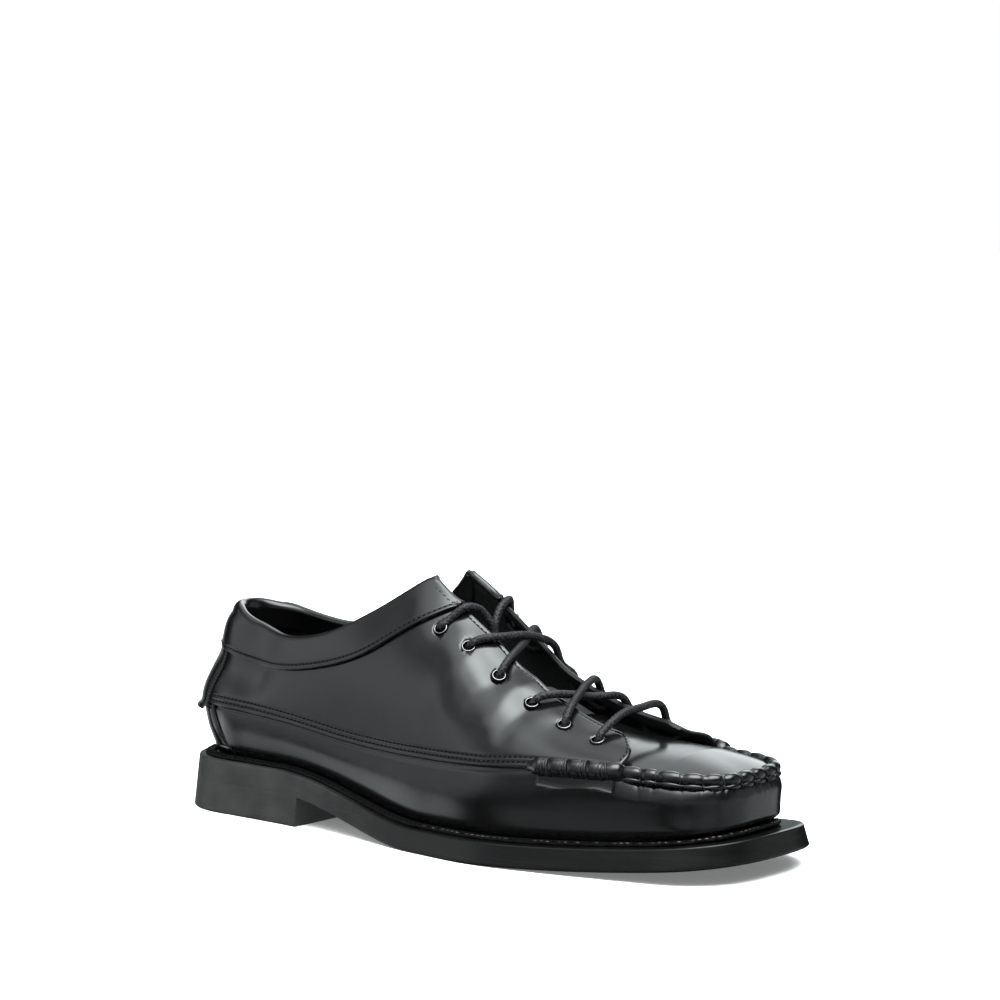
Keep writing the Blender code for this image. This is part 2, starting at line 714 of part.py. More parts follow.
def build_rolls():
    """Wrapped rolls with their tabs, cut to lie on the upper's own forms."""
    side_form = shell("side_clearance", side_rows(OVERLAY_GAP), CLEARANCE_DEPTH, None, True)
    quarter_form = shell("quarter_clearance", quarter_rows(QUARTER_LAP + OVERLAY_GAP), CLEARANCE_DEPTH,
                         None, True)
    path, scales = bulged(seam_path(), SEAM_PINCH, SEAM_PITCH)
    seam_form = as_mesh(tube("seam_clearance", path, SEAM_RADIUS + OVERLAY_GAP, None, True, scales, 1))
    for side, side_name in SIDES:
        name = "beef_roll_" + side_name
        path, scales = bulged(roll_path(side), ROLL_PINCH, ROLL_PITCH)
        roll = as_mesh(tube(name, path, ROLL_RADIUS, None, False, scales))
        roll.data.materials.append(material("roll_leather", LEATHER, 0.24))
        ring = [(s, side) for s in SOLE_RUN if MARKS[2] <= s <= MARKS[3]]
        rows = overlay_rows(ring, lambda s, _: TAB_LOW, lambda s, _: TAB_HIGH, OVERLAY_GAP + OVERLAY, 1)
        tab = shell("tab_form_" + side_name, rows, OVERLAY, None, True)
        boolean(roll, tab, "UNION")
        for form in (side_form, quarter_form, seam_form):
            boolean(roll, form, "DIFFERENCE")


def build_tongue():
    rows = []
    for x in np.linspace(TONGUE_BACK, TONGUE_FRONT, TONGUE_GRID[0]):
        crest = column(TONGUE_CREST, PLUG_COLUMNS, "z", x)
        narrow = 1 - TONGUE_NARROWING * ((TONGUE_FRONT - x) / (TONGUE_FRONT - TONGUE_BACK)) ** 3
        half = TONGUE_HALF_WIDTH * narrow
        rows.append([(x, half * share, crest - TONGUE_FALL * share * share)
                     for share in np.linspace(-1, 1, TONGUE_GRID[1])])
    shell("tongue", rows, WALL, material("tongue_leather", LEATHER, 0.4))


def eyelet_out(number, side, height, inward=0.0):
    """Point over an eyelet, along its axis and in towards the throat, in the shoe's frame."""
    point = np.array(eyelet_frame(number, side) @ Vector((0, 0, height * MM))) / MM + CENTRE
    return point - (0, side * inward, 0)


def over_edge(x, side, height):
    """Point over the throat's edge at x, lifted along the face's normal."""
    station = station_of(x)
    return wall(station, side, rim_level(station, side), QUARTER_LAP + height)


def lace_route(near, far, lift, crown):
    """Lace from one lateral eyelet over both edges of the throat to one medial eyelet."""
    start, end = EYELETS[near][0], EYELETS[far][0]
    first = over_edge(start + (end - start) * LACE_EDGE_SHARE, LATERAL, LACE_RADIUS + lift)
    last = over_edge(end - (end - start) * LACE_EDGE_SHARE, MEDIAL, LACE_RADIUS + lift)
    middle = (first + last) / 2 + (0, 0, crown)
    return [eyelet_out(near, LATERAL, LACE_CLEAR), eyelet_out(near, LATERAL, LACE_RISE, LACE_LEAN), first,
            middle, last, eyelet_out(far, MEDIAL, LACE_RISE, LACE_LEAN), eyelet_out(far, MEDIAL, LACE_CLEAR)]


def end_route(side):
    """Free end of the lace from the top eyelet over the throat's edge and down inside."""
    return [eyelet_out(0, side, LACE_CLEAR), eyelet_out(0, side, LACE_RISE, LACE_LEAN),
            over_edge(END_EDGE, side, LACE_RADIUS + LACE_EDGE_GAP)] + list(END_INSIDE[side])


def build_lace():
    look = material("lace_cord", THREAD, 0.45)
    tube("lace_bar", sample(lace_route(5, 5, BAR_LIFT, BAR_CROWN), LACE_POINTS), LACE_RADIUS, look)
    for name, over, under in (("lace_cross_lower", (4, 3), (3, 4)), ("lace_cross_upper", (1, 2), (2, 1))):
        high, low = [lace_route(*pair, LACE_EDGE_GAP, crown)
                     for pair, crown in ((over, LACE_LAP), (under, -LACE_LAP))]
        strand = as_mesh(tube(name, sample(high, LACE_POINTS), LACE_RADIUS))
        strand.data.materials.append(look)
        other = as_mesh(tube(name + "_under", sample(low, LACE_POINTS), LACE_RADIUS, None, True))
        boolean(strand, other, "UNION")
    for side, side_name in SIDES:
        tube("lace_end_" + side_name, sample(end_route(side), LACE_POINTS), LACE_RADIUS, look)


for old in list(bpy.data.objects):
    bpy.data.objects.remove(old)
PIECES = collection(OBJECT_NAME)
CUTTERS = collection("forms_and_cutters")
build_outsole()
build_heel()
build_welt()
build_insole()
build_upper()
build_eyelets()
build_collar_band()
build_backstay()
build_rolls()
build_tongue()
build_lace()
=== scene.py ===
"""Square toe lace-up moccasin shoe: detailed pieces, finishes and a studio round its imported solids.

Shapes are worked out in millimetres in the shoe's own frame (x from the heel back to the toe, y
negative on the lateral side, z up from the floor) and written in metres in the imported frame.
"""
from math import cos, degrees, pi, radians, sin

import bmesh
import bpy
import numpy as np
from mathutils import Matrix, Vector


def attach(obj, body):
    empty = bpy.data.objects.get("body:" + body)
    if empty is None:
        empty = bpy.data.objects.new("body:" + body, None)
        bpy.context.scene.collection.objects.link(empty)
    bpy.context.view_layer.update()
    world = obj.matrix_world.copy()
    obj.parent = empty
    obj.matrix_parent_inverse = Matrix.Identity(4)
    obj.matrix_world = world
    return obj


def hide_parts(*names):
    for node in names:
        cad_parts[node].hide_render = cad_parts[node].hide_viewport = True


bl_info = {
    "name": "Square toe lace-up shoe",
    "version": (1, 0, 0),
    "blender": (4, 5, 0),
    "location": "3D View > Sidebar > Shoe",
    "description": "Builds the leather, sewing, lace and sole of a moccasin shoe round its solids",
    "category": "Object",
}

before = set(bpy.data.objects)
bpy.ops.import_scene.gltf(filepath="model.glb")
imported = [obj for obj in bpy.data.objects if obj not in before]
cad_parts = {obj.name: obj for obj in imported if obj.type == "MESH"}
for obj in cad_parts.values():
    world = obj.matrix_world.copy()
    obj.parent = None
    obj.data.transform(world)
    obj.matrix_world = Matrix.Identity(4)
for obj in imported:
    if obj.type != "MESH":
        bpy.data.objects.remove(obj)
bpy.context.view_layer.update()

MM = 0.001
GAP = 0.3
WELD = 0.01 * MM
LATERAL, MEDIAL = -1, 1
SIDES = ((LATERAL, "lateral"), (MEDIAL, "medial"))
SEED = 7

# Sole
SOLE_LENGTH = 298.0
SOLE_THICKNESS = 9.4
SOLE_FLARE = 2.3
HEEL_LIFT = 13.4
HEEL_BREAST = 75.6
HEEL_LEVEL_END = 61.6
ARCH_END = 148.4
SPRING_START = 170.0
TOE_SPRING = 8.9
HEEL_AXIS = 36.0
TOE_AXIS = 262.0
RUN_LENGTH = TOE_AXIS - HEEL_AXIS
HEEL_SQUARENESS = 2.4
TOE_SQUARENESS = 2.87
SOLE_COLUMNS = ("x", "lateral", "medial")
SOLE_WIDTHS = (
    (36, 34.2, 35),
    (66, 36.7, 35.5),
    (110, 42.6, 33.5),
    (150, 50.5, 37),
    (185, 54.7, 44.5),
    (215, 51.5, 48),
    (240, 47.5, 46.2),
    (262, 43.6, 43.4),
)
WELT_HEIGHT = 2.5
WELT_INSETS = ((0, 3), (36, 3), (110, 3), (185, 4.6), (262, 6.2), (298, 8.2))
INSOLE_THICKNESS = 3.0
WALL = 1.8
QUARTER_WALL = 1.6
QUARTER_LAP = 1.0
BAND_LIFT = 2.8
BAND_INSIDE = -1.4
BAND_ROLL = (BAND_LIFT - BAND_INSIDE) / 2

# Upper: a row for each section along the sole
SECTION_COLUMNS = ("x", "foot_in", "bulge_in", "bulge_z", "panel_in", "panel_z",
                   "mid_r", "mid_z", "crest_r", "crest_z")
SECTIONS = (
    (0, 9, 5.4, 37, 4.6, 45, 26.5, 69, 22.5, 95),
    (8, 8.6, 5, 37, 4.4, 45, 25.2, 68.5, 20, 95),
    (36, 7.5, 3.6, 36.5, 3.2, 44.7, 23.2, 65.7, 13.5, 92),
    (66, 6.6, 2.8, 35, 2.6, 43, 29.2, 65.2, 20, 90),
    (110, 7.5, 3.6, 31, 4, 38.3, 31.6, 76, 18, 103),
    (131, 8, 4.5, 28.5, 5.2, 37.3, 28, 86.5, 9, 111.8),
    (150, 8.5, 5, 27, 6, 37.3, 25, 87.6, 10, 98.6),
    (185, 9, 5.2, 25.5, 6.2, 39, 26.5, 68.2, 11, 73.6),
    (215, 9, 5.4, 25.5, 6, 41.5, 28, 55.8, 13, 60),
    (240, 9.2, 5.8, 26.5, 6.2, 42, 30, 50.2, 16, 53.8),
    (262, 9.8, 6.4, 27.5, 6.8, 41.5, 26, 46.5, 14, 48.5),
    (298, 12.2, 7.9, 29.5, 8.6, 39.8, 19, 43, 10, 45),
)
TUCK_START = 170.0
TUCK_END = 240.0
MEDIAL_TUCK = 3.0
DROP_COLUMNS = ("x", "panel", "mid", "crest")
MEDIAL_DROP = (
    (110, 0, 0, 0),
    (150, 0, 3.2, 0.8),
    (185, 0.5, 4.6, 2.2),
    (215, 1.2, 2.4, 0.6),
    (240, 1.5, 0.8, 0),
    (262, 1.5, 0, 0),
    (298, 0, 0, 0),
)
# Levels of a section: the panel edge, where the quarters start, and the crest
PANEL, CREST = 3, 5
SIDE_TOP = 3.12
COLLAR_FRONT = 131.5
CORNER_ROUND = 2.5
COLLAR_RIM = ((0, 87), (8, 87), (36, 83.3), (58, 79.4), (80, 82.2), (108, 94.7), (131.5, 111))
BAND_FRONT = 146.5
BAND_LOWER = ((0, 69.5), (8, 69), (36, 65.8), (58, 64.8), (80, 67.6),
              (106, 75.3), (134, 91.7), (148, 99.4))
THROAT_EDGE = ((131.5, 11), (147.5, 13), (181, 14), (210, 16), (228, 18))
FLAP_START = 166.0
FLAP_FRONT = {LATERAL: 247.0, MEDIAL: 243.5}
FLAP_CORNER = 17.0
FLAP_CORNER_FROM = 0.3
FLAP_CORNER_POWER = 2.1
BACKSTAY_UPPER = (0.64, 0.63)
BACKSTAY_LOWER = (0.9, 0.72)

# Toe plug, gathered seam, wrapped rolls and tongue
SEAM_START = 204.5
PLUG_START = 200.0
SEAM_IN = 2.6
SEAM_UP = 1.2
SEAM_PINCH = 0.72
PLUG_POWER = 2.1
PLUG_CREST = ((195, 58.5), (205, 54.8), (215, 52), (230, 49.8), (245, 49), (262, 48.4))
PLUG_SLOPE = -0.17
ROLL_START = 208.0
ROLL_END = 250.0
ROLL_RADIUS = 4.1
ROLL_PINCH = 0.8
ROLL_OUT = 0.6
ROLL_UP = 1.4
TAB_START = 211.5
TAB_END = 247.0
TAB_LOW = 2.5
TAB_HIGH = 3.08
TONGUE_BACK = 180.0
TONGUE_FRONT = 216.0
TONGUE_HALF_WIDTH = 19.0
TONGUE_CREST = ((178, 67.5), (190, 60.6), (205, 53.2), (218, 49.6))
TONGUE_FALL = 5.0
TONGUE_NARROWING = 0.35

# Eyelets, counted from the top: place along the shoe and distance from its middle line
EYELETS = ((143.6, 24), (159, 25), (175.7, 26), (193.8, 27), (211.3, 28), (229.3, 29))


def smooth(knots, values, at):
    """Smooth curve through the values at the knots."""
    knots = np.asarray(knots, float)
    values = np.asarray(values, float)
    at = np.clip(np.asarray(at, float), knots[0], knots[-1])
    slopes = np.gradient(values, knots, axis=0)
    i = np.clip(np.searchsorted(knots, at, side="right") - 1, 0, len(knots) - 2)
    span = knots[i + 1] - knots[i]
    t = (at - knots[i]) / span
    if values.ndim > 1:
        t, span = t[:, None], span[:, None]
    start, end = values[i], values[i + 1]
    bend_in, bend_out = slopes[i] * span, slopes[i + 1] * span
    return (start * (1 + 2 * t) * (1 - t) ** 2 + bend_in * t * (1 - t) ** 2
            + end * t * t * (3 - 2 * t) + bend_out * t * t * (t - 1))


def ease(low, high, value):
    """Smooth step from 0 at low to 1 at high."""
    t = np.clip((np.asarray(value, float) - low) / (high - low), 0, 1)
    return t * t * (3 - 2 * t)


def hump(value, centre, width):
    """Soft bump of height 1 and a given half width."""
    return np.exp(-((np.asarray(value, float) - centre) / width) ** 2)


def column(table, names, name, x):
    """Values of one named column of a table at x."""
    rows = np.asarray(table, float)
    return smooth(rows[:, 0], rows[:, names.index(name)], x)


def curve(table, x):
    """Values of a table of two columns at x."""
    return smooth(*np.asarray(table, float).T, x)


def unit(vectors):
    """Vectors scaled to a length of 1."""
    return vectors / np.linalg.norm(vectors, axis=-1, keepdims=True)


def lengths(points):
    """Running length along a line of points."""
    steps = np.linalg.norm(np.diff(points, axis=0), axis=1)
    return np.concatenate(([0.0], np.cumsum(steps)))


def along(points, at):
    """Points at given running lengths along a line of points."""
    run = lengths(points)
    return np.column_stack([np.interp(at, run, points[:, i]) for i in range(points.shape[1])])


def resample(points, count):
    """Evenly spaced points on a smooth curve through points."""
    points = np.asarray(points, float)
    knots = lengths(points)
    fine = smooth(knots, points, np.linspace(0, knots[-1], 40 * len(points)))
    return along(fine, np.linspace(0, lengths(fine)[-1], count))


def sole_half_width(x, side):
    """Distance of the sole's top edge from the middle line."""
    return column(SOLE_WIDTHS, SOLE_COLUMNS, dict(SIDES)[side], x)


def sole_lift(x):
    """Height of the outsole's bottom over the floor."""
    rise = np.clip((np.asarray(x, float) - SPRING_START) / (SOLE_LENGTH - SPRING_START), 0, None)
    return HEEL_LIFT * (1 - ease(HEEL_LEVEL_END, ARCH_END, x)) + TOE_SPRING * rise * rise


def sole_top(x):
    return sole_lift(x) + SOLE_THICKNESS


def station_of(x):
    """Station of a section between the two axes."""
    return 1 + (np.asarray(x, float) - HEEL_AXIS) / RUN_LENGTH


def round_stations(heel, run, toe):
    """Stations from the heel back to the toe's middle, with a count for each stretch."""
    return np.concatenate((np.linspace(0, 1, heel), np.linspace(1, 2, run)[1:],
                           np.linspace(2, 3, toe)[1:]))


def once_round(lateral, medial):
    """Values once round the shoe, from those of its two sides."""
    return np.concatenate((lateral, medial[-2:0:-1]))


def base(stations, side):
    """Axis x, outward direction, radius and sole x at stations.

    Stations 0 to 1 turn round the heel axis, 1 to 2 run along the sole, 2 to 3 turn round the toe.
    """
    s = np.atleast_1d(np.asarray(stations, float))
    heel = np.clip(s, 0, 1) * pi / 2
    toe = np.clip(3 - s, 0, 1) * pi / 2
    run_x = HEEL_AXIS + RUN_LENGTH * np.clip(s - 1, 0, 1)
    toe_half = float(sole_half_width(TOE_AXIS, side))
    taper = toe_half - float(sole_half_width(TOE_AXIS - 1.0, side))
    forward = (SOLE_LENGTH - TOE_AXIS) * np.clip(np.cos(toe), 0, 1) ** (2 / TOE_SQUARENESS)
    back = HEEL_AXIS * np.clip(np.cos(heel), 0, 1) ** (2 / HEEL_SQUARENESS)
    heel_y = sole_half_width(HEEL_AXIS, side) * np.sin(heel) ** (2 / HEEL_SQUARENESS)
    toe_y = (toe_half + taper * forward) * np.clip(np.sin(toe), 0, 1) ** (2 / TOE_SQUARENESS)
    x = np.where(s <= 1, HEEL_AXIS - back, np.where(s < 2, run_x, TOE_AXIS + forward))
    y = np.where(s <= 1, heel_y, np.where(s < 2, sole_half_width(run_x, side), toe_y))
    axis = np.where(s <= 1, HEEL_AXIS, np.where(s < 2, run_x, TOE_AXIS))
    out = np.column_stack((x - axis, side * y))
    radius = np.hypot(out[:, 0], out[:, 1])
    return axis, out / radius[:, None], radius, x


def outward(axis, out, reach, z):
    """Points at a reach from the axis along outward directions."""
    return np.column_stack((axis + out[:, 0] * reach, out[:, 1] * reach,
                            np.broadcast_to(z, reach.shape)))


def tuck(stations, side):
    """How far the medial toe is drawn in."""
    if side == LATERAL:
        return np.zeros(np.size(stations))
    s = np.atleast_1d(np.asarray(stations, float))
    turn = np.sin(np.clip(3 - s, 0, 1) * pi / 2)
    return MEDIAL_TUCK * ease(TUCK_START, TUCK_END, base(s, side)[3]) * turn


def foot_inset(stations, side):
    """Distance of the upper's foot from the sole's top edge."""
    x = base(stations, side)[3]
    return column(SECTIONS, SECTION_COLUMNS, "foot_in", x) + tuck(stations, side)


def sections(stations, side):
    """Axis x, directions and the six section points (radius, height) at each station."""
    axis, out, radius, x = base(stations, side)
    row = {name: column(SECTIONS, SECTION_COLUMNS, name, x) for name in SECTION_COLUMNS[1:]}
    drop = {name: column(MEDIAL_DROP, DROP_COLUMNS, name, x) * (side == MEDIAL)
            for name in DROP_COLUMNS[1:]}
    foot = radius - foot_inset(stations, side)
    edge = radius - tuck(stations, side)
    top = sole_top(x)
    radial = np.stack((foot, foot + GAP, edge - row["bulge_in"], edge - row["panel_in"],
                       row["mid_r"], row["crest_r"]), -1)
    height = np.stack((top + GAP, top + WELT_HEIGHT + 2 * GAP, row["bulge_z"],
                       row["panel_z"] - drop["panel"], row["mid_z"] - drop["mid"],
                       row["crest_z"] - drop["crest"]), -1)
    return axis, out, np.stack((radial, height), -1)


FINE_X = np.linspace(HEEL_AXIS, TOE_AXIS, 400)
CENTRE = np.array((SOLE_LENGTH / 2, (sole_half_width(FINE_X, MEDIAL).max()
                                     - sole_half_width(FINE_X, LATERAL).max()) / 2, 0.0))


def place(points):
    """Points of the shoe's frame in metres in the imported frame."""
    return (np.asarray(points, float) - CENTRE) * MM


# Dense ring of the upper's outer face, once round the shoe, softened so that gloss runs evenly
RING_STATIONS = round_stations(121, 401, 151)
LEVEL_STEPS = 40
SOFTEN_ROUND = 5.0
SOFTEN_TOE = 13.0
SOFTEN_TOE_STATIONS = (1.85, 2.2)
SOFTEN_UP = 3.0
FALL = 0.8
FALL_START = (148.0, 165.0)
FALL_END = (234.0, 246.0)
FALL_REACH = 12.0
SEARCH_BELOW = 0.5
SEARCH_STEPS = 240
WALK_STEPS = 160


def soften(values, width, closed):
    """Gaussian softening along the first axis."""
    reach = int(3 * width)
    weights = np.exp(-0.5 * (np.arange(-reach, reach + 1) / width) ** 2)
    weights /= weights.sum()
    if closed:
        padded = np.concatenate((values[-reach:], values, values[:reach]))
    else:
        padded = np.concatenate((2 * values[:1] - values[reach:0:-1], values,
                                 2 * values[-1:] - values[-2:-reach - 2:-1]))
    return sum(w * padded[i:i + len(values)] for i, w in enumerate(weights))


def medial_fall(x, y):
    """How much lower the medial quarter lies just past the throat's edge, where its flap stands up."""
    past = np.clip(y - curve(THROAT_EDGE, x), 0, None)
    zone = ease(*FALL_START, x) * (1 - ease(*FALL_END, x))
    return FALL * zone * past * np.exp(-(past / FALL_REACH) ** 2)


def build_ring():
    """Points of the upper's outer face, by column round the shoe and level up it."""
    levels = np.linspace(0, CREST, CREST * LEVEL_STEPS + 1)
    grids = []
    for side, _ in SIDES:
        axis, out, points = sections(RING_STATIONS, side)
        grid = np.empty((len(RING_STATIONS), len(levels), 3))
        for i, line in enumerate(points):
            knots = lengths(line)
            radial = smooth(knots, line, np.interp(levels, range(len(knots)), knots))
            grid[i, :, 0] = axis[i] + out[i, 0] * radial[:, 0]
            grid[i, :, 1] = out[i, 1] * radial[:, 0]
            grid[i, :, 2] = radial[:, 1]
        if side == MEDIAL:
            grid[:, :, 2] -= medial_fall(grid[:, :, 0], grid[:, :, 1])
        grids.append(grid)
    ring = soften(once_round(*grids), SOFTEN_ROUND, True)
    at_toe = ease(*SOFTEN_TOE_STATIONS, once_round(RING_STATIONS, RING_STATIONS))
    ring += (soften(ring, SOFTEN_TOE, True) - ring) * at_toe[:, None, None]
    return soften(ring.swapaxes(0, 1), SOFTEN_UP, False).swapaxes(0, 1)


def ring_normals(ring):
    ahead = np.roll(ring, -1, axis=0) - np.roll(ring, 1, axis=0)
    return unit(np.cross(ahead, np.gradient(ring, axis=1)))


RING = build_ring()
NORMALS = ring_normals(RING)


def ring_column(side, stations):
    index = np.interp(stations, RING_STATIONS, np.arange(len(RING_STATIONS)))
    return index if side == LATERAL else len(RING) - index


def from_ring(table, side, stations, levels):
    """Values of a table of the ring between its columns and levels."""
    at = ring_column(side, stations)
    i = np.floor(at).astype(int)
    f = (at - i)[..., None]
    up = np.clip(np.asarray(levels, float) * LEVEL_STEPS, 0, table.shape[1] - 1.001)
    j = np.floor(up).astype(int)
    g = (up - j)[..., None]
    i, k = i % len(table), (i + 1) % len(table)
    return ((table[i, j] * (1 - g) + table[i, j + 1] * g) * (1 - f)
            + (table[k, j] * (1 - g) + table[k, j + 1] * g) * f)


def on_wall(side, stations, levels, lift=0.0):
    """Points over the upper's outer face, lifted along its normal."""
    stations, levels, lift = np.broadcast_arrays(stations, levels, lift)
    return (from_ring(RING, side, stations, levels)
            + from_ring(NORMALS, side, stations, levels) * lift[..., None])


def wall_normal(side, stations, levels):
    stations, levels = np.broadcast_arrays(stations, levels)
    return from_ring(NORMALS, side, stations, levels)


def level_at(side, stations, values, axis):
    """Levels over the panel edge where a section reaches a distance from the middle line (axis 1)
    or a height (axis 2)."""
    levels = np.linspace(PANEL - SEARCH_BELOW, CREST, SEARCH_STEPS)
    found = []
    for station, value in zip(*np.broadcast_arrays(stations, values)):
        line = np.abs(from_ring(RING, side, np.full(SEARCH_STEPS, station), levels)[:, axis])
        order = np.argsort(line)
        found.append(np.interp(value, line[order], levels[order]))
    return np.array(found)


def rim_levels(side, stations):
    """Levels of the collar's rim, and of the throat's edge further forward."""
    x = base(stations, side)[3]
    by_height = level_at(side, stations, curve(COLLAR_RIM, x), 2)
    by_reach = level_at(side, stations, curve(THROAT_EDGE, x), 1)
    share = ease(COLLAR_FRONT - CORNER_ROUND, COLLAR_FRONT + CORNER_ROUND, x)
    return by_height * (1 - share) + by_reach * share


def band_levels(side, stations):
    x = base(stations, side)[3]
    return level_at(side, stations, curve(BAND_LOWER, x), 2)


def marked_levels(side, stations, low, high, low_marks, middle, high_marks):
    """Levels of rows that keep given distances from a low and a high line, and those distances."""
    levels, up, down = [], [], []
    for station, start, end in zip(stations, low, high):
        fine = np.linspace(start, end, WALK_STEPS)
        run = lengths(from_ring(RING, side, np.full(WALK_STEPS, station), fine))
        share = min(1.0, run[-1] / (low_marks[-1] + high_marks[-1] + 1.0))
        lower, upper = np.array(low_marks) * share, np.array(high_marks) * share
        between = np.linspace(lower[-1], run[-1] - upper[-1], middle + 2)[1:-1]
        at = np.concatenate((lower, between, run[-1] - upper[::-1]))
        levels.append(np.interp(at, run, fine))
        up.append(at)
        down.append(run[-1] - at)
    return np.array(levels), np.array(up), np.array(down)


INNER_HEIGHT = 30.0


def new_bmesh():
    """Empty bmesh with a UV map."""
    bm = bmesh.new()
    bm.loops.layers.uv.new("UVMap")
    return bm


def to_mesh(bm, name):
    """Mesh of a bmesh, which is used up."""
    mesh = bpy.data.meshes.new(name)
    bm.to_mesh(mesh)
    bm.free()
    return mesh


def new_object(name, data):
    """Object of a mesh, a light or a camera, in the scene."""
    made = bpy.data.objects.new(name, data)
    bpy.context.scene.collection.objects.link(made)
    return made


def grid_mesh(points, closed=False, mask=None, grooves=None, shaded_groove_slot=0):
    """A bmesh grid moved to rows and columns of points; closed joins its last column to its first.

    The mask is kept on the points for the finishes; faces inside the grooves get a material slot that
    paints shade in them.
    """
    if closed:
        points, mask, grooves = [
            None if table is None else np.concatenate((table, table[:, :1]), axis=1)
            for table in (points, mask, grooves)]
    rows, columns = points.shape[:2]
    bm = new_bmesh()
    crease_and_sheen = bm.verts.layers.float.new("crease_and_sheen")
    bmesh.ops.create_grid(bm, x_segments=columns - 1, y_segments=rows - 1, size=1.0, calc_uvs=True)
    for vert, point in zip(bm.verts, place(points).reshape(-1, 3)):
        vert.co = point
    if mask is not None:
        for vert, value in zip(bm.verts, mask.ravel()):
            vert[crease_and_sheen] = value
    if grooves is not None:
        inside = grooves.ravel()
        bm.verts.index_update()
        for face in bm.faces:
            if all(inside[vert.index] for vert in face.verts):
                face.material_index = shaded_groove_slot
    bmesh.ops.remove_doubles(bm, verts=bm.verts, dist=WELD)
    return bm


def face_out(bm):
    """Turn an open sheet's faces away from the shoe's inner line."""
    low, high = [place((x, 0, INNER_HEIGHT)) for x in (HEEL_AXIS, TOE_AXIS)]
    total = 0.0
    for face in bm.faces:
        centre = face.calc_center_median()
        inner = Vector((min(max(centre.x, low[0]), high[0]), low[1], low[2]))
        total += face.normal.dot(centre - inner) * face.calc_area()
    if total < 0:
        bmesh.ops.reverse_faces(bm, faces=bm.faces)
    return bm


def turn_out(bm):
    """Point a closed shape's faces out."""
    bmesh.ops.recalc_face_normals(bm, faces=bm.faces)
    return bm


def close_ends(bm):
    """Fill the open ends of a tube or loft and point its faces out."""
    bmesh.ops.holes_fill(bm, edges=[edge for edge in bm.edges if edge.is_boundary], sides=0)
    return turn_out(bm)


def add_piece(name, bm, looks, nodes=(), sharp=None):
    """Object of a bmesh that rides on the shoe and stands for CAD nodes; sharp is in degrees."""
    mesh = to_mesh(bm, name)
    for look in looks:
        mesh.materials.append(look)
    mesh.shade_smooth()
    if sharp:
        mesh.set_sharp_from_angle(angle=radians(sharp))
    piece = new_object(name, mesh)
    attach(piece, "root")
    if nodes:
        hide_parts(*nodes)
    return piece


def thicken(piece, thickness, inner=1, rim=2):
    """Wall grown inwards, with a lining and a cut edge from the piece's other materials."""
    wall = piece.modifiers.new("wall", "SOLIDIFY")
    wall.thickness = thickness * MM
    wall.offset = -1.0
    wall.use_even_offset = True
    wall.material_offset = inner
    wall.material_offset_rim = rim


def turning_frames(path):
    """Tangents and two cross directions carried along a path without twist."""
    tangents = unit(np.gradient(path, axis=0))
    across = np.empty_like(path)
    seed = np.cross(tangents[0], (0.0, 0.0, 1.0))
    if np.linalg.norm(seed) < 0.1:
        seed = np.cross(tangents[0], (0.0, 1.0, 0.0))
    across[0] = seed / np.linalg.norm(seed)
    for i in range(1, len(path)):
        kept = across[i - 1] - tangents[i] * across[i - 1].dot(tangents[i])
        across[i] = kept / np.linalg.norm(kept)
    return tangents, across, np.cross(tangents, across)


def tube_points(path, radii, sides):
    """Rings of points round a path; radii hold one value for each ring or for each point."""
    _, across, over = turning_frames(path)
    angles = np.arange(sides) * 2 * pi / sides
    radii = np.asarray(radii, float)
    radii = np.broadcast_to(radii if radii.ndim > 1 else radii[..., None], (len(path), sides))
    ring = (across[:, None] * np.cos(angles)[None, :, None]
            + over[:, None] * np.sin(angles)[None, :, None])
    return path[:, None] + ring * radii[..., None]


def tube(path, radii, sides, mask=None):
    """Closed tube along a path."""
    points = tube_points(np.asarray(path, float), radii, sides)
    return close_ends(grid_mesh(points, closed=True, mask=mask))


def add_to(bm, other):
    """Move one bmesh into another."""
    mesh = to_mesh(other, "joined")
    bm.from_mesh(mesh)
    bpy.data.meshes.remove(mesh)


# Sewing: distances in millimetres from the edge that each row follows
PANEL_ROWS = (2.5, 4.6)
BAND_ROW = 2.2
THROAT_ROW = 1.9
BACKSTAY_ROW = 1.8
GROOVE_WIDTH = 0.34
GROOVE_DEPTH = 0.3
GROOVE_HALF = 0.36

# Soft folds placed on the upper: side, x and z of both ends in side view, width and depth.
# A negative depth is a trough, a positive one a ridge.
FOLDS = (
    (LATERAL, 176, 76, 169, 65, 6, -0.7),
    (LATERAL, 4, 50, 4, 60, 9, 2.4),
    (MEDIAL, 4, 50, 4, 60, 9, 2.4),
    (LATERAL, 18, 62, 42, 57, 9, -1.1),
    (MEDIAL, 18, 62, 42, 57, 9, -1.1),
    (LATERAL, 162, 84, 155, 64, 7, 0.6),
    (LATERAL, 186, 70, 181, 57, 5, 0.55),
    (LATERAL, 195, 66, 191, 54, 5, -0.6),
    (MEDIAL, 178, 68, 168, 50, 7, -0.9),
    (MEDIAL, 164, 74, 154, 56, 8, 0.7),
)
EYELET_DENT = 0.5
EYELET_DENT_REACH = 4.6


def seam_line(side, stations):
    """Middle of the gathered seam at stations."""
    axis, out, points = sections(stations, side)
    reach = points[:, PANEL, 0] - SEAM_IN
    return outward(axis, out, reach, points[:, PANEL, 1] + SEAM_UP)


SEAM_STATIONS = np.linspace(station_of(SEAM_START), 3, 260)
SEAM_HALVES = {side: seam_line(side, SEAM_STATIONS) for side, _ in SIDES}
SEAM_PATH = np.concatenate((SEAM_HALVES[LATERAL], SEAM_HALVES[MEDIAL][-2::-1]))
SEAM_LENGTH = lengths(SEAM_PATH)[-1]


def pinches(length, pitch, jitter):
    """Places of the needle holes of a gathered seam, a little uneven as in hand sewing."""
    count = round(length / pitch)
    places = np.arange(count + 1) * length / count
    places[1:-1] += np.random.default_rng(SEED).uniform(-jitter, jitter, count - 1) * length / count
    return places


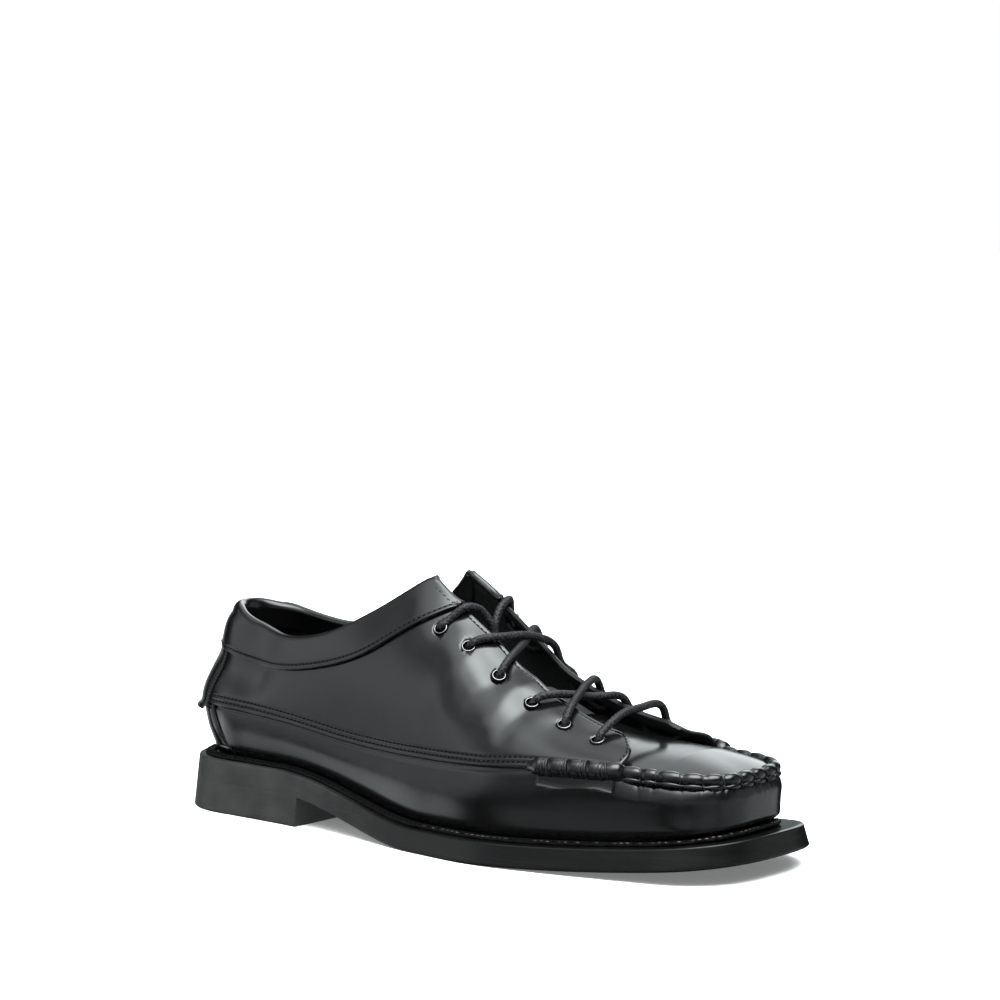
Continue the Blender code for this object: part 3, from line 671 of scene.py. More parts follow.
def off_pinch(run, places):
    """Distance from the nearest needle hole, in shares of the pitch."""
    phase = np.interp(run, places, np.arange(len(places)))
    return np.abs(phase - np.round(phase))


SEAM_JITTER = 0.11
SEAM_PITCH = 8.6
PINCHES = pinches(SEAM_LENGTH, SEAM_PITCH, SEAM_JITTER)


def seam_run(side, stations):
    """Running length of the gathered seam at stations of one side."""
    half = lengths(SEAM_HALVES[side])
    run = np.interp(stations, SEAM_STATIONS, half)
    return run if side == LATERAL else SEAM_LENGTH - run


def folds(side, points):
    """Lift of the listed folds at points of one side."""
    lift = np.zeros(points.shape[:-1])
    for fold_side, x0, z0, x1, z1, width, depth in FOLDS:
        if fold_side != side:
            continue
        start = np.array((x0, z0))
        span = np.array((x1, z1)) - start
        flat = points[..., (0, 2)] - start
        share = np.clip(flat @ span / span.dot(span), 0, 1)
        away = np.linalg.norm(flat - share[..., None] * span, axis=-1)
        lift += depth * hump(away, 0.0, width)
    return lift


def eyelet_seat(number, side):
    """Point on the quarter's face and its normal at an eyelet."""
    x, reach = EYELETS[number]
    station = station_of([x])
    level = level_at(side, station, [reach], 1)
    return on_wall(side, station, level, QUARTER_LAP)[0], wall_normal(side, station, level)[0]


SEATS = {(number, side): eyelet_seat(number, side)
         for number in range(len(EYELETS)) for side, _ in SIDES}


def eyelet_dents(side, points):
    """Lift of the leather pressed in round the eyelets."""
    lift = np.zeros(points.shape[:-1])
    for number in range(len(EYELETS)):
        away = np.linalg.norm(points - SEATS[number, side][0], axis=-1)
        lift -= EYELET_DENT * hump(away, 0.0, EYELET_DENT_REACH)
    return lift


def rounded(distance, size, drop):
    """Fall of a rounded edge: the drop at the edge itself, none from the size inwards."""
    t = np.clip(1 - np.asarray(distance, float) / size, 0, 1)
    return -drop * (1 - np.sqrt(1 - t * t * 0.999))


def mirrored(lateral, medial):
    """Rows of both sides joined at the heel back: lateral from the front, then medial to it."""
    return np.concatenate((lateral[:, ::-1], medial[:, 1:]), axis=1)


LEAN = 4.0
LEAN_REACH = 15.0
LEAN_POWER = 3.2
LEAN_RISE = 4.4
LEAN_STATIONS = (0.4, 0.95)


def heel_lean(stations, down):
    """How far the collar leans in near its rim at the heel back."""
    near = np.clip(1 - down / LEAN_REACH, 0, 1)
    return LEAN * near ** LEAN_POWER * (1 - ease(*LEAN_STATIONS, stations))


def heel_and_run(end, heel_count, step):
    """Stations from the heel back to an end, in even steps of millimetres along the run."""
    count = int((end - 1) * RUN_LENGTH / step)
    return np.concatenate((np.linspace(0, 1, heel_count), np.linspace(1, end, count)[1:]))


# Material slots of a lined sheet: face, lining, cut edge, painted shade in grooves, and the last two
# again for the grooves
SHADED_GROOVE_SLOT = 3
HEEL_COLUMNS = 46
RUN_STEP = 1.2

# Side wall: gathers under the toe seam, fullness low down, and the fold along its top
LEVEL_HEIGHT = 11.0
ROLL_FADE = 0.03
SIDE_GATHER = 0.3
SIDE_GATHER_REACH = 5.0
SIDE_GATHER_POWER = 1.3
GATHER_FROM = 0.05
GATHER_SWELL = 0.45
GATHER_WIDTH = 0.17
SIDE_FULLNESS = 0.8
TOE_FULLNESS = 2.0
FULLNESS_STATIONS = (1.9, 2.3)
FULLNESS_LEVEL = (1.28, 0.44)
TRENCH = 0.6
TRENCH_BELOW = (0.03, 0.05)
SHADED_TRENCH_FACES = (0.04, 0.03)
SHOULDER = 3.0
SHOULDER_LEVELS = (2.3, 3.05)
TOE_SHOULDER = 0.5
TOE_SHOULDER_STATIONS = (2.1, 2.6)
WRINKLES = 4
WRINKLE_SEED = 11
WRINKLE_SPREAD = 3.2
WRINKLE_LEAN = (-0.45, 0.45)
WRINKLE_REACH = (2.0, 6.5)
WRINKLE_WIDTH = (0.45, 1.0)
WRINKLE_DEPTH = (0.08, 0.36)
FINE_BEFORE = 8.0


def wrinkles():
    """Fine folds that fan down from the toe seam: place along it, lean, length, width and depth."""
    rng = np.random.default_rng(WRINKLE_SEED)
    count = WRINKLES * (len(PINCHES) - 2)
    at = np.repeat(PINCHES[1:-1], WRINKLES) + rng.uniform(-WRINKLE_SPREAD, WRINKLE_SPREAD, count)
    spans = (WRINKLE_LEAN, WRINKLE_REACH, WRINKLE_WIDTH, WRINKLE_DEPTH)
    return np.column_stack([at] + [rng.uniform(*span, count) for span in spans])


def side_lift(side, stations, levels):
    """Fullness low on the side wall, gathers under the toe seam, and where its grain shows."""
    run = seam_run(side, stations)
    down = np.clip(PANEL + GATHER_FROM - levels, 0, None) * LEVEL_HEIGHT
    start = station_of(ROLL_END)
    past_roll = ease(start - ROLL_FADE, start + ROLL_FADE, stations)
    fade = np.exp(-(down / SIDE_GATHER_REACH) ** SIDE_GATHER_POWER) * past_roll
    lift = SIDE_GATHER * fade * (GATHER_SWELL - hump(off_pinch(run, PINCHES), 0.0, GATHER_WIDTH))
    for at, lean, reach, width, depth in wrinkles():
        away = run - at - lean * down
        lift = lift - depth * hump(away, 0.0, width) * np.exp(-(down / reach) ** 2) * past_roll
    shoulder = SHOULDER * (1 - TOE_SHOULDER * ease(*TOE_SHOULDER_STATIONS, stations))
    lift = lift - shoulder * ease(*SHOULDER_LEVELS, levels) * past_roll
    fullness = SIDE_FULLNESS + TOE_FULLNESS * ease(*FULLNESS_STATIONS, stations)
    lift = lift + fullness * hump(levels, *FULLNESS_LEVEL)
    return lift - TRENCH * hump(PANEL - levels, *TRENCH_BELOW), fade


def build_side(looks):
    fine = station_of(ROLL_END - FINE_BEFORE)
    stations = np.concatenate((heel_and_run(fine, HEEL_COLUMNS, RUN_STEP),
                               np.linspace(fine, 2, 60)[1:], np.linspace(2, 3, 170)[1:]))
    levels = np.concatenate((np.linspace(0, 1, 5), np.linspace(1, SIDE_TOP, 44)[1:]))
    s, up = np.meshgrid(stations, levels)
    grids, masks = [], []
    for side, _ in SIDES:
        lift, mask = side_lift(side, s, up)
        lift += folds(side, on_wall(side, s, up))
        grids.append(on_wall(side, s, up, lift))
        masks.append(mask)
    points, mask = [np.concatenate((lateral, medial[:, -2:0:-1]), axis=1)
                    for lateral, medial in (grids, masks)]
    # Faces in the trench just below the panel edge get painted shade
    below, half = SHADED_TRENCH_FACES
    shaded_trench = np.broadcast_to((np.abs(levels - PANEL + below) < half)[:, None], mask.shape)
    bm = grid_mesh(points, closed=True, mask=mask, grooves=shaded_trench, shaded_groove_slot=SHADED_GROOVE_SLOT)
    thicken(add_piece("upper_side", face_out(bm), looks, ["upper"]), WALL)


# Quarters: distances of their rows from the panel edge and from the rim
QUARTER_LOW = (0.0, 0.2, 0.45, 0.75, 1.05, 1.4, 1.8, 2.15, 2.5, 2.85, 3.3, 3.9, 4.25, 4.6, 4.95,
               5.5, 6.5, 8.0)
QUARTER_HIGH = (0.0, 0.25, 0.55, 0.9, 1.4, 1.9, 2.25, 2.6, 2.95, 3.4, 4.0, 5.0, 6.5)
QUARTER_MIDDLE = 28
FLAP_COLUMNS = 68
LAP_ROUND = (0.9, 0.9)
LAP_LIP = 0.2
LAP_LIP_AT = (1.15, 0.55)
OPEN_EDGE = (BAND_FRONT - 4, BAND_FRONT + 2)
THROAT_ROUND = (0.5, 0.35)
EYELET_HOLE = 2.85
HOLE_REACH = 2.2


def quarter_grid(side):
    """Stations, levels and the distances from the panel edge, the rim and the flap's front."""
    flap, end = station_of(FLAP_START), station_of(FLAP_FRONT[side])
    marks = station_of([COLLAR_FRONT, BAND_FRONT])
    back = np.unique(np.concatenate((heel_and_run(flap, HEEL_COLUMNS, RUN_STEP), marks)))
    dense = np.concatenate((back, np.linspace(flap, end, FLAP_COLUMNS)[1:]))
    low = np.full(len(dense), float(PANEL))
    levels, up, down = marked_levels(side, dense, low, rim_levels(side, dense),
                                     QUARTER_LOW, QUARTER_MIDDLE, QUARTER_HIGH)
    share = (up / (up + down))[-FLAP_COLUMNS // 3]
    turn = np.clip((share - FLAP_CORNER_FROM) / (1 - FLAP_CORNER_FROM), 0, 1)
    corner = 1 - (1 - turn ** FLAP_CORNER_POWER) ** (1 / FLAP_CORNER_POWER)
    front = station_of(FLAP_FRONT[side] - FLAP_CORNER * corner)
    ahead = np.clip((dense - flap) / (end - flap), 0, None)[:, None]
    stations = np.where(ahead > 0, flap + ahead * (front - flap)[None, :], dense[:, None])
    pick = [[np.interp(stations[:, k], dense, table[:, k]) for k in range(levels.shape[1])]
            for table in (levels, up, down)]
    levels, up, down = [np.array(rows) for rows in pick]
    to_front = ((front[:, None] - stations.T) * RUN_LENGTH).clip(0, None)
    return stations.T, levels, up, down, to_front


def quarter_face(side):
    """Stations, levels and lifts of the quarter's outer face, and distances to the flap's front."""
    stations, levels, up, down, to_front = quarter_grid(side)
    x = base(stations.ravel(), side)[3].reshape(stations.shape)
    open_edge = ease(*OPEN_EDGE, x)
    lift = QUARTER_LAP + rounded(up, *LAP_ROUND) + LAP_LIP * hump(up, *LAP_LIP_AT)
    for row in PANEL_ROWS:
        lift = lift - GROOVE_DEPTH * hump(up, row, GROOVE_WIDTH)
    edge = np.minimum(down, to_front)
    lift = lift - open_edge * GROOVE_DEPTH * hump(edge, THROAT_ROW, GROOVE_WIDTH)
    lift = lift + open_edge * rounded(edge, *THROAT_ROUND)
    points = on_wall(side, stations, levels, QUARTER_LAP)
    lift = lift + folds(side, points) + eyelet_dents(side, points)
    lift = lift - heel_lean(stations, np.maximum(down, BAND_ROLL))
    return stations, levels, lift, to_front


def punch(bm, seat, normal, radius):
    """Round hole through a sheet at a seat: faces inside go, and its edge is set on a circle."""
    middle, axis = Vector(place(seat)), Vector(normal)
    near = [f for f in bm.faces if (f.calc_center_median() - middle).length < radius * MM]
    bmesh.ops.delete(bm, geom=near, context="FACES")
    for vert in bm.verts:
        away = vert.co - middle
        if away.length < HOLE_REACH * radius * MM and vert.is_boundary:
            away = away - axis * away.dot(axis)
            vert.co += away.normalized() * (radius * MM) - away


def build_quarters(looks):
    grids, grooves = [], []
    rows = np.array(QUARTER_LOW)
    # Faces along the panel stitch rows take the painted shade slot
    sewn = np.abs(rows[:, None] - np.array(PANEL_ROWS)).min(1) < GROOVE_HALF
    for side, _ in SIDES:
        stations, levels, lift, _ = quarter_face(side)
        grids.append(on_wall(side, stations, levels, lift))
        groove = np.zeros(levels.shape, bool)
        groove[:len(rows)] = sewn[:, None]
        grooves.append(groove)
    bm = face_out(grid_mesh(mirrored(*grids), grooves=mirrored(*grooves), shaded_groove_slot=SHADED_GROOVE_SLOT))
    for seat, normal in SEATS.values():
        punch(bm, seat, normal, EYELET_HOLE)
    thicken(add_piece("upper_quarters", bm, looks, ["upper"]), QUARTER_WALL)


# Toe plug
def plug_points(side, stations, shares):
    """Points of the toe plug's outer face, share 0 on the middle line and 1 at the seam."""
    axis, out, points = sections(stations, side)
    seam = points[:, PANEL, 0] - SEAM_IN
    reach = seam[:, None] * shares
    crest = curve(PLUG_CREST, axis)
    rim = points[:, PANEL, 1] + SEAM_UP - crest - PLUG_SLOPE * (out[:, 0] * seam)
    x = axis[:, None] + out[:, :1] * reach
    z = crest[:, None] + PLUG_SLOPE * (x - axis[:, None]) + rim[:, None] * shares ** PLUG_POWER
    return np.stack((x, out[:, 1:] * reach, z), -1)


def build_plug(looks):
    stations = np.concatenate((np.linspace(station_of(PLUG_START), 2, 56),
                               np.linspace(2, 3, 84)[1:]))
    shares = np.sin(np.linspace(0, 1, 44) * pi / 2)
    lateral, medial = [plug_points(side, stations, shares) for side, _ in SIDES]
    bm = face_out(grid_mesh(np.concatenate((lateral[:, :0:-1], medial), axis=1)))
    thicken(add_piece("upper_plug", bm, looks, ["upper"]), WALL)


# Gathered seam, with a lip of gathered leather below it
SEAM_STEPS = 14
SEAM_SIDES = 18
SEAM_TAPER = 5.0
SEAM_THREAD = 0.42
SEAM_THREAD_OVER = 0.1
SEAM_THREAD_LEAN = 0.5
LIP_RADIUS = 1.4
LIP_SIDES = 12
LIP_OUT = 1.8
LIP_DOWN = 2.5
LIP_PINCH = (0.42, 0.26)
LIP_THREAD = 0.336
LIP_THREAD_RADIUS = 0.85
LIP_THREAD_LEAN = 0.3
PINCH_WIDTH = 0.2
THREAD_STEPS = 25
THREAD_SIDES = 6


def bulges(run, places, pinch, width=PINCH_WIDTH):
    """Radius shares along a gathered tube: full between needle holes, drawn in at each."""
    return pinch + (1 - pinch) * (1 - hump(off_pinch(run, places), 0.0, width))


def thread_ring(path, at, radius, thread, lean):
    """A turn of thread round a tube's path."""
    i = int(np.clip(at, 1, len(path) - 2))
    tangents, across, over = turning_frames(path[i - 1:i + 2])
    angles = np.linspace(0, 2 * pi, THREAD_STEPS)[:-1, None]
    ring = (path[i] + radius * (across[1] * np.cos(angles) + over[1] * np.sin(angles))
            + tangents[1] * np.sin(angles) * lean)
    ring = np.concatenate((ring, ring[:1]))
    return grid_mesh(tube_points(ring, thread, THREAD_SIDES), closed=True)


def build_seam(sizes, looks, thread_looks):
    radius = sizes.seam_radius / MM
    count = (len(PINCHES) - 1) * SEAM_STEPS + 1
    run = np.linspace(0, SEAM_LENGTH, count)
    path = along(SEAM_PATH, run)
    ends = 0.5 + 0.5 * (ease(0, SEAM_TAPER, run) * ease(0, SEAM_TAPER, SEAM_LENGTH - run))
    bm = tube(path, radius * bulges(run, PINCHES, SEAM_PINCH) * ends, SEAM_SIDES)
    out = unit(np.cross(np.gradient(path, axis=0), (0.0, 0.0, 1.0)))
    lip = path + out * LIP_OUT - np.array((0, 0, LIP_DOWN))
    lip_radii = LIP_RADIUS * bulges(run, PINCHES, *LIP_PINCH) * ends
    add_to(bm, tube(lip, lip_radii, LIP_SIDES))
    add_piece("upper_seam", bm, looks, ["upper"])
    threads = bmesh.new()
    for place_at in PINCHES[1:-1]:
        at = place_at / SEAM_LENGTH * (count - 1)
        add_to(threads, thread_ring(path, at, radius * SEAM_PINCH + SEAM_THREAD_OVER, SEAM_THREAD,
                                    SEAM_THREAD_LEAN))
        add_to(threads, thread_ring(lip, at, LIP_THREAD_RADIUS, LIP_THREAD, LIP_THREAD_LEAN))
    add_piece("seam_thread", turn_out(threads), thread_looks)


# Sole
EDGE_ROUNDING = 0.9
EDGE_INSIDE = 2.2
TOP_TURNS = (0.0, 0.25, 0.5, 0.75, 1.0)
LOW_TURNS = (0.0, 0.33, 0.67, 1.0)
EDGE_STEPS = 9
SOLE_SHARP = 40.0
FLUSH = 0.02
LOWER_BEVEL = 0.7
LOWER_BEVEL_X = (HEEL_BREAST - 1.0, HEEL_BREAST + 3.0)
HEEL_BEVEL = 0.8
TREAD_DEPTH = 0.7
TREAD_PITCH = 5.0
TREAD_WAVE = (0.35, 0.6)
TREAD_MARGIN = (0.2, 0.28)
TREAD_CLEAR = 4.0
# Where the tread fades in, from the heel back, and out, from the toe and from the heel's breast
SOLE_TREAD_IN = (150, 156)
SOLE_TREAD_OUT = (40, 50)
HEEL_TREAD_IN = (12, 18)
HEEL_TREAD_OUT = (6, 10)
HEEL_TREAD_END = 72


def rim_points(stations, side, inset, z):
    """Points in plan at insets from the sole's top edge."""
    axis, out, radius, _ = base(stations, side)
    return outward(axis, out, radius - inset, z)


def sole_flare(x):
    """Share of the side's flare that falls on the outsole's own edge."""
    return SOLE_FLARE * SOLE_THICKNESS / (SOLE_THICKNESS + sole_lift(np.minimum(x, ARCH_END)))


def chords(lateral, medial, count):
    """Points across the sole between two edge lines."""
    share = np.linspace(0, 1, count + 2)[1:-1]
    return [lateral * (1 - t) + medial * t for t in share]


def sole_loft(stations, profile, bottom_lift, across=28):
    """Closed sections across the sole: down the lateral edge, under, up the medial edge, over."""
    x = base(stations, LATERAL)[3]
    edges = {side: [rim_points(stations, side, inset, z) for inset, z in profile(x)]
             for side, _ in SIDES}
    under = chords(edges[LATERAL][-1], edges[MEDIAL][-1], across)
    for i, line in enumerate(under):
        line[:, 2] += bottom_lift(line[:, 0], (i + 1) / (across + 1))
    over = chords(edges[MEDIAL][0], edges[LATERAL][0], across)
    loop = edges[LATERAL] + under + edges[MEDIAL][::-1] + over
    return grid_mesh(np.stack(loop, 1), closed=True)


def edge_profile(top, low, top_out, low_out, top_round, low_round):
    """Insets and heights down a rounded sole edge; outs are distances past the top edge."""
    rows = [(-top_out + EDGE_INSIDE * top_round, top)]
    for turn in TOP_TURNS:
        angle = turn * pi / 2
        rows.append((-top_out + top_round * (1 - sin(angle)), top - top_round * (1 - cos(angle))))
    for t in np.linspace(0, 1, EDGE_STEPS)[1:-1]:
        rows.append((-top_out - (low_out - top_out) * t,
                     (top - top_round) * (1 - t) + (low + low_round) * t))
    for turn in LOW_TURNS:
        angle = turn * pi / 2
        rows.append((-low_out + low_round * (1 - cos(angle)), low + low_round * (1 - sin(angle))))
    return rows


def tread(x, share):
    """Lift of the tread's grooves on the underside."""
    inside = ease(*TREAD_MARGIN, share) * ease(*TREAD_MARGIN, 1 - share)
    wave = ease(*TREAD_WAVE, np.abs(np.sin(x / TREAD_PITCH * pi)))
    on_sole = ease(*SOLE_TREAD_IN, x) * ease(*SOLE_TREAD_OUT, SOLE_LENGTH - x)
    on_heel = ease(*HEEL_TREAD_IN, x) * ease(*HEEL_TREAD_OUT, HEEL_TREAD_END - x)
    return TREAD_DEPTH * inside * wave * np.maximum(on_sole, on_heel)


def build_outsole(looks):
    def profile(x):
        bevel = LOWER_BEVEL * ease(*LOWER_BEVEL_X, x) + FLUSH
        return edge_profile(sole_top(x), sole_lift(x), 0.0, sole_flare(x), EDGE_ROUNDING, bevel)

    def front_tread(x, share):
        return tread(x, share) * (x > HEEL_BREAST + TREAD_CLEAR)

    bm = turn_out(sole_loft(round_stations(61, 227, 71), profile, front_tread))
    add_piece("outsole_edge", bm, looks, ["outsole"], SOLE_SHARP)


def build_heel(looks):
    def profile(x):
        return edge_profile(sole_lift(x) + FLUSH, 0.0 * x, sole_flare(x), SOLE_FLARE, FLUSH, HEEL_BEVEL)

    stations = np.concatenate((np.linspace(0, 1, 61),
                               np.linspace(1, station_of(HEEL_BREAST), 42)[1:]))
    bm = close_ends(sole_loft(stations, profile, tread))
    add_piece("heel_block", bm, looks, ["heel"], SOLE_SHARP)


# Welt and insole
WELT_STATIONS = round_stations(100, 450, 150)
WELT_SHOWN = 1.5
# Section of the welt: out past its outer edge and up from the sole's top
WELT_OUTLINE = (
    (-1.2, 0.02), (-0.05, 0.05), (0.1, 0.5), (0.12, 1.1), (0.05, WELT_SHOWN - 0.6),
    (-0.25, WELT_SHOWN - 0.2), (-0.8, WELT_SHOWN), (-1.8, WELT_SHOWN + 0.05),
    (-3.6, WELT_SHOWN + 0.2), (-4.0, WELT_SHOWN - 0.6), (-3.0, 0.6), (-1.2, 0.02),
)
WELT_ROUGH_ROWS = range(2, 8)
WELT_WAVE_UP = 0.132
WELT_WAVE_UP_WIDTH = 2.2
WELT_WAVE_OUT = 0.000352
WELT_WAVE_OUT_WIDTH = 1.6
WELT_SEED = SEED + 20
INSOLE_EDGE = ((0.9, 0.0), (0.25, 0.25), (0.0, 0.8), (0.0, 2.9))
INSOLE_ACROSS = 20
INSOLE_DISH = 0.5


def ring_noise(count, width, seed):
    """Even random waviness round a closed ring."""
    noise = soften(np.random.default_rng(seed).normal(size=count), width, True)
    return noise / noise.std()


def ring_rows(stations, make):
    """Row of points once round the shoe from a function of stations and side."""
    return once_round(make(stations, LATERAL), make(stations, MEDIAL))


def welt_line(stations, side, out, up):
    """Points on the welt: out past its outer edge and up from the sole's top."""
    x = base(stations, side)[3]
    inset = curve(WELT_INSETS, x) + tuck(stations, side) - out
    return rim_points(stations, side, inset, sole_top(x) + up)


def build_welt(looks):
    rows = []
    for i, (out, up) in enumerate(WELT_OUTLINE):
        row = ring_rows(WELT_STATIONS, lambda s, side: welt_line(s, side, out, up))
        if i in WELT_ROUGH_ROWS:
            wave_up = ring_noise(len(row), WELT_WAVE_UP_WIDTH, SEED + i)
            wave_out = ring_noise(len(row), WELT_WAVE_OUT_WIDTH, WELT_SEED + i)
            row[:, 2] += WELT_WAVE_UP * wave_up
            row[:, :2] *= 1 + WELT_WAVE_OUT * wave_out[:, None]
        rows.append(row)
    bm = turn_out(grid_mesh(np.array(rows), closed=True))
    add_piece("welt_strip", bm, looks, ["welt"])


def build_insole(looks):
    stations = round_stations(30, 90, 36)
    top = sole_top(base(stations, LATERAL)[3]) + GAP + INSOLE_THICKNESS
    loop = []
    for side, rows in ((LATERAL, INSOLE_EDGE), (MEDIAL, INSOLE_EDGE[::-1])):
        edge = foot_inset(stations, side) + WALL + GAP
        loop += [rim_points(stations, side, edge + inset, top - down) for inset, down in rows]
    over = chords(loop[-1], loop[0], INSOLE_ACROSS)
    for i, line in enumerate(over):
        line[:, 2] -= INSOLE_DISH * np.sin((i + 1) / (INSOLE_ACROSS + 1) * pi)
    bm = turn_out(grid_mesh(np.stack(loop + over, 1), closed=True))
    add_piece("insole_board", bm, looks, ["insole"])


# Collar band: distances of its rows from its lower edge, and how far each stands up there
BAND_LOW = (1.0, 0.4, 0.1, 0.0, 0.12, 0.35, 0.7, 1.1, 1.5, 1.85, 2.2, 2.55, 3.2)
BAND_UNDER = (0.0, 0.08, 0.25, 0.5, 0.78, 0.93)
BAND_SHADED_UNDER_ROWS = 3
BAND_MIDDLE = 12
BAND_TURNS = 9
BAND_DEPTHS = (2.8, 4.2, 6.0, 8.0, 10.0)
BAND_TAIL = (0.9, 0.7, 0.5, 0.3, 0.15, 0.05)
BAND_HEEL_COLUMNS = 70
BAND_STEP = 0.8
BAND_EDGE = 1.2
BAND_END_ROUND = 1.2
BAND_SOFTEN = 2.5
BAND_PAD = 2.2
BAND_PAD_STATIONS = (0.45, 1.1)
BAND_THIN = 0.75
BAND_THIN_X = (COLLAR_FRONT - 6, COLLAR_FRONT + 2)
MEDIAL_RISE_STATIONS = (0.1, 0.6)
HEEL_SOFTEN = 8.0
HEEL_SOFTEN_COLUMNS = (50, 90)
UNDER_EDGE = 0.05
LEVEL_NUDGE = 0.02
INSIDE_LEVELS = np.linspace(0, 1.2, 60)


def band_rows(side, stations, rim_row):
    """Levels of the collar band's rows, and their distances from its lower edge and its rim."""
    return marked_levels(side, stations, band_levels(side, stations), rim_levels(side, stations),
                         BAND_LOW, BAND_MIDDLE, (rim_row,))


def band_grid(side):
    """Rows of the collar band from its lower edge, up its face, over the rim and down inside."""
    end = station_of(BAND_FRONT)
    tail = end - np.array(BAND_TAIL) / RUN_LENGTH
    stations = np.unique(np.concatenate((heel_and_run(end, BAND_HEEL_COLUMNS, BAND_STEP), tail)))
    levels, up, down = band_rows(side, stations, BAND_ROLL)
    to_front = (end - stations) * RUN_LENGTH
    ending = np.sqrt(1 - np.clip(1 - to_front / BAND_END_ROUND, 0, 1) ** 2)
    thick = ((BAND_LIFT - QUARTER_LAP - UNDER_EDGE) * ending)[:, None]
    groove = hump(up, BAND_ROW, GROOVE_WIDTH)
    groove += hump(to_front, BAND_ROW, GROOVE_WIDTH)[:, None] * (up > BAND_ROW)
    lift = (QUARTER_LAP + UNDER_EDGE + thick * (1 + rounded(up, BAND_EDGE, 1.0))
            - GROOVE_DEPTH * groove.clip(0, 1))
    lift[:, :len(BAND_UNDER)] = QUARTER_LAP + UNDER_EDGE + thick * np.array(BAND_UNDER)
    s = np.broadcast_to(stations[:, None], levels.shape)
    lift = lift - heel_lean(s, down)
    rows = list(on_wall(side, s, levels, lift).swapaxes(0, 1))
    top = levels[:, -1]
    rise = unit(on_wall(side, stations, top + LEVEL_NUDGE)
                - on_wall(side, stations, top - LEVEL_NUDGE))
    normal = wall_normal(side, stations, top)
    foot = on_wall(side, stations, top)
    fold = 1 - BAND_THIN * ease(*BAND_THIN_X, base(stations, side)[3])
    inner = QUARTER_LAP - QUARTER_WALL + (BAND_INSIDE - QUARTER_LAP + QUARTER_WALL) * fold * ending
    lean = heel_lean(stations, BAND_ROLL)
    inner = inner - lean - BAND_PAD * (1 - ease(*BAND_PAD_STATIONS, stations))
    raised = LEAN_RISE * lean / LEAN
    if side == MEDIAL:
        raised = raised * (1 - ease(*MEDIAL_RISE_STATIONS, stations))
    outer = lift[:, -1]
    middle, half = (outer + inner) / 2, (outer - inner) / 2
    for turn in np.linspace(0, pi, BAND_TURNS)[1:]:
        top_row = (foot + normal * (middle + half * cos(turn))[:, None]
                   + rise * ((BAND_ROLL + raised) * sin(turn))[:, None])
        rows.append(soften(top_row, BAND_SOFTEN, False))
    inside_run = lengths(on_wall(side, stations[:1], top[:1] - INSIDE_LEVELS))
    for depth in BAND_DEPTHS:
        drop = np.interp(depth * fold - BAND_ROLL, inside_run, INSIDE_LEVELS)
        rows.append(soften(on_wall(side, stations, top - drop, inner), BAND_SOFTEN, False))
    return np.array(rows)


def build_collar_band(looks):
    points = mirrored(*[band_grid(side) for side, _ in SIDES])
    from_back = np.abs(np.arange(points.shape[1]) - points.shape[1] // 2)
    at_heel = 1 - ease(*HEEL_SOFTEN_COLUMNS, from_back)
    even = soften(points.swapaxes(0, 1), HEEL_SOFTEN, False).swapaxes(0, 1)
    points += (even - points) * at_heel[None, :, None]
    # Painted shade on the faces in the band's stitch groove and on the underside of its lower edge
    groove = np.zeros(len(points), bool)
    groove[:len(BAND_LOW)] = np.abs(np.array(BAND_LOW) - BAND_ROW) < GROOVE_HALF
    groove[:BAND_SHADED_UNDER_ROWS] = True
    grooves = np.broadcast_to(groove[:, None], points.shape[:2])
    bm = face_out(grid_mesh(points, grooves=grooves, shaded_groove_slot=1))
    add_piece("collar_roll", bm, looks, ["collar_band"])


# Backstay
BACKSTAY_LIFT = 2.0
BACKSTAY_LOWER_LIFT = 1.0
BACKSTAY_WALL = 0.9
BACKSTAY_FOOT = 1.06
BACKSTAY_LOW = 2.82
BACKSTAY_HEAD_LAP = 0.06
BACKSTAY_LAP = 0.04
BACKSTAY_TIP = 2.6
BACKSTAY_TIP_REACH = 1.8
BACKSTAY_ROUND = 0.7
BACKSTAY_SPREAD = 1.4


def strip_turn(share, turns):
    """Half width of a strip in stations, from its foot at share 0 to its head at share 1."""
    return turns[1] + (turns[0] - turns[1]) * (1 - share) ** BACKSTAY_SPREAD


def strip_grid(low, high, lift, under, turns, columns=60, rows=46, tip=0.0):
    """Strip round the heel back, rounded down to the leather under it at its edges."""
    grid = []
    share = (1 - np.cos(np.linspace(0, 1, rows) * pi)) / 2
    for across in np.sin(np.linspace(-1, 1, columns) * pi / 2):
        side = LATERAL if across < 0 else MEDIAL
        stations = abs(across) * strip_turn(share, turns)
        end = high(side, stations[-1:])
        levels = low + (end - low) * share
        line = on_wall(side, stations, levels)
        run = lengths(line)
        beside = (1 - abs(across)) * strip_turn(share, turns) * HEEL_AXIS
        edge = np.minimum(np.minimum(run, run[-1] - run), beside)
        up = under + UNDER_EDGE + (lift - under) * (1 + rounded(edge, BACKSTAY_ROUND, 1.0))
        up += folds(side, line) - GROOVE_DEPTH * hump(edge, BACKSTAY_ROW, GROOVE_WIDTH)
        out = tip * hump(run, 0.0, BACKSTAY_TIP_REACH)
        grid.append(on_wall(side, stations, levels, up + out))
    return np.array(grid)


def build_backstay(looks):
    upper = strip_grid(BACKSTAY_LOW, lambda side, s: band_levels(side, s)[0] + BACKSTAY_HEAD_LAP,
                       BACKSTAY_LIFT, QUARTER_LAP, BACKSTAY_UPPER, tip=BACKSTAY_TIP)
    lower = strip_grid(BACKSTAY_FOOT, lambda side, s: PANEL + BACKSTAY_LAP,
                       BACKSTAY_LOWER_LIFT, 0.0, BACKSTAY_LOWER)
    for name, grid in (("upper", upper), ("lower", lower)):
        bm = face_out(grid_mesh(grid))
        piece = add_piece("backstay_" + name + "_leather", bm, looks, ["backstay_" + name])
        thicken(piece, BACKSTAY_WALL, rim=0)


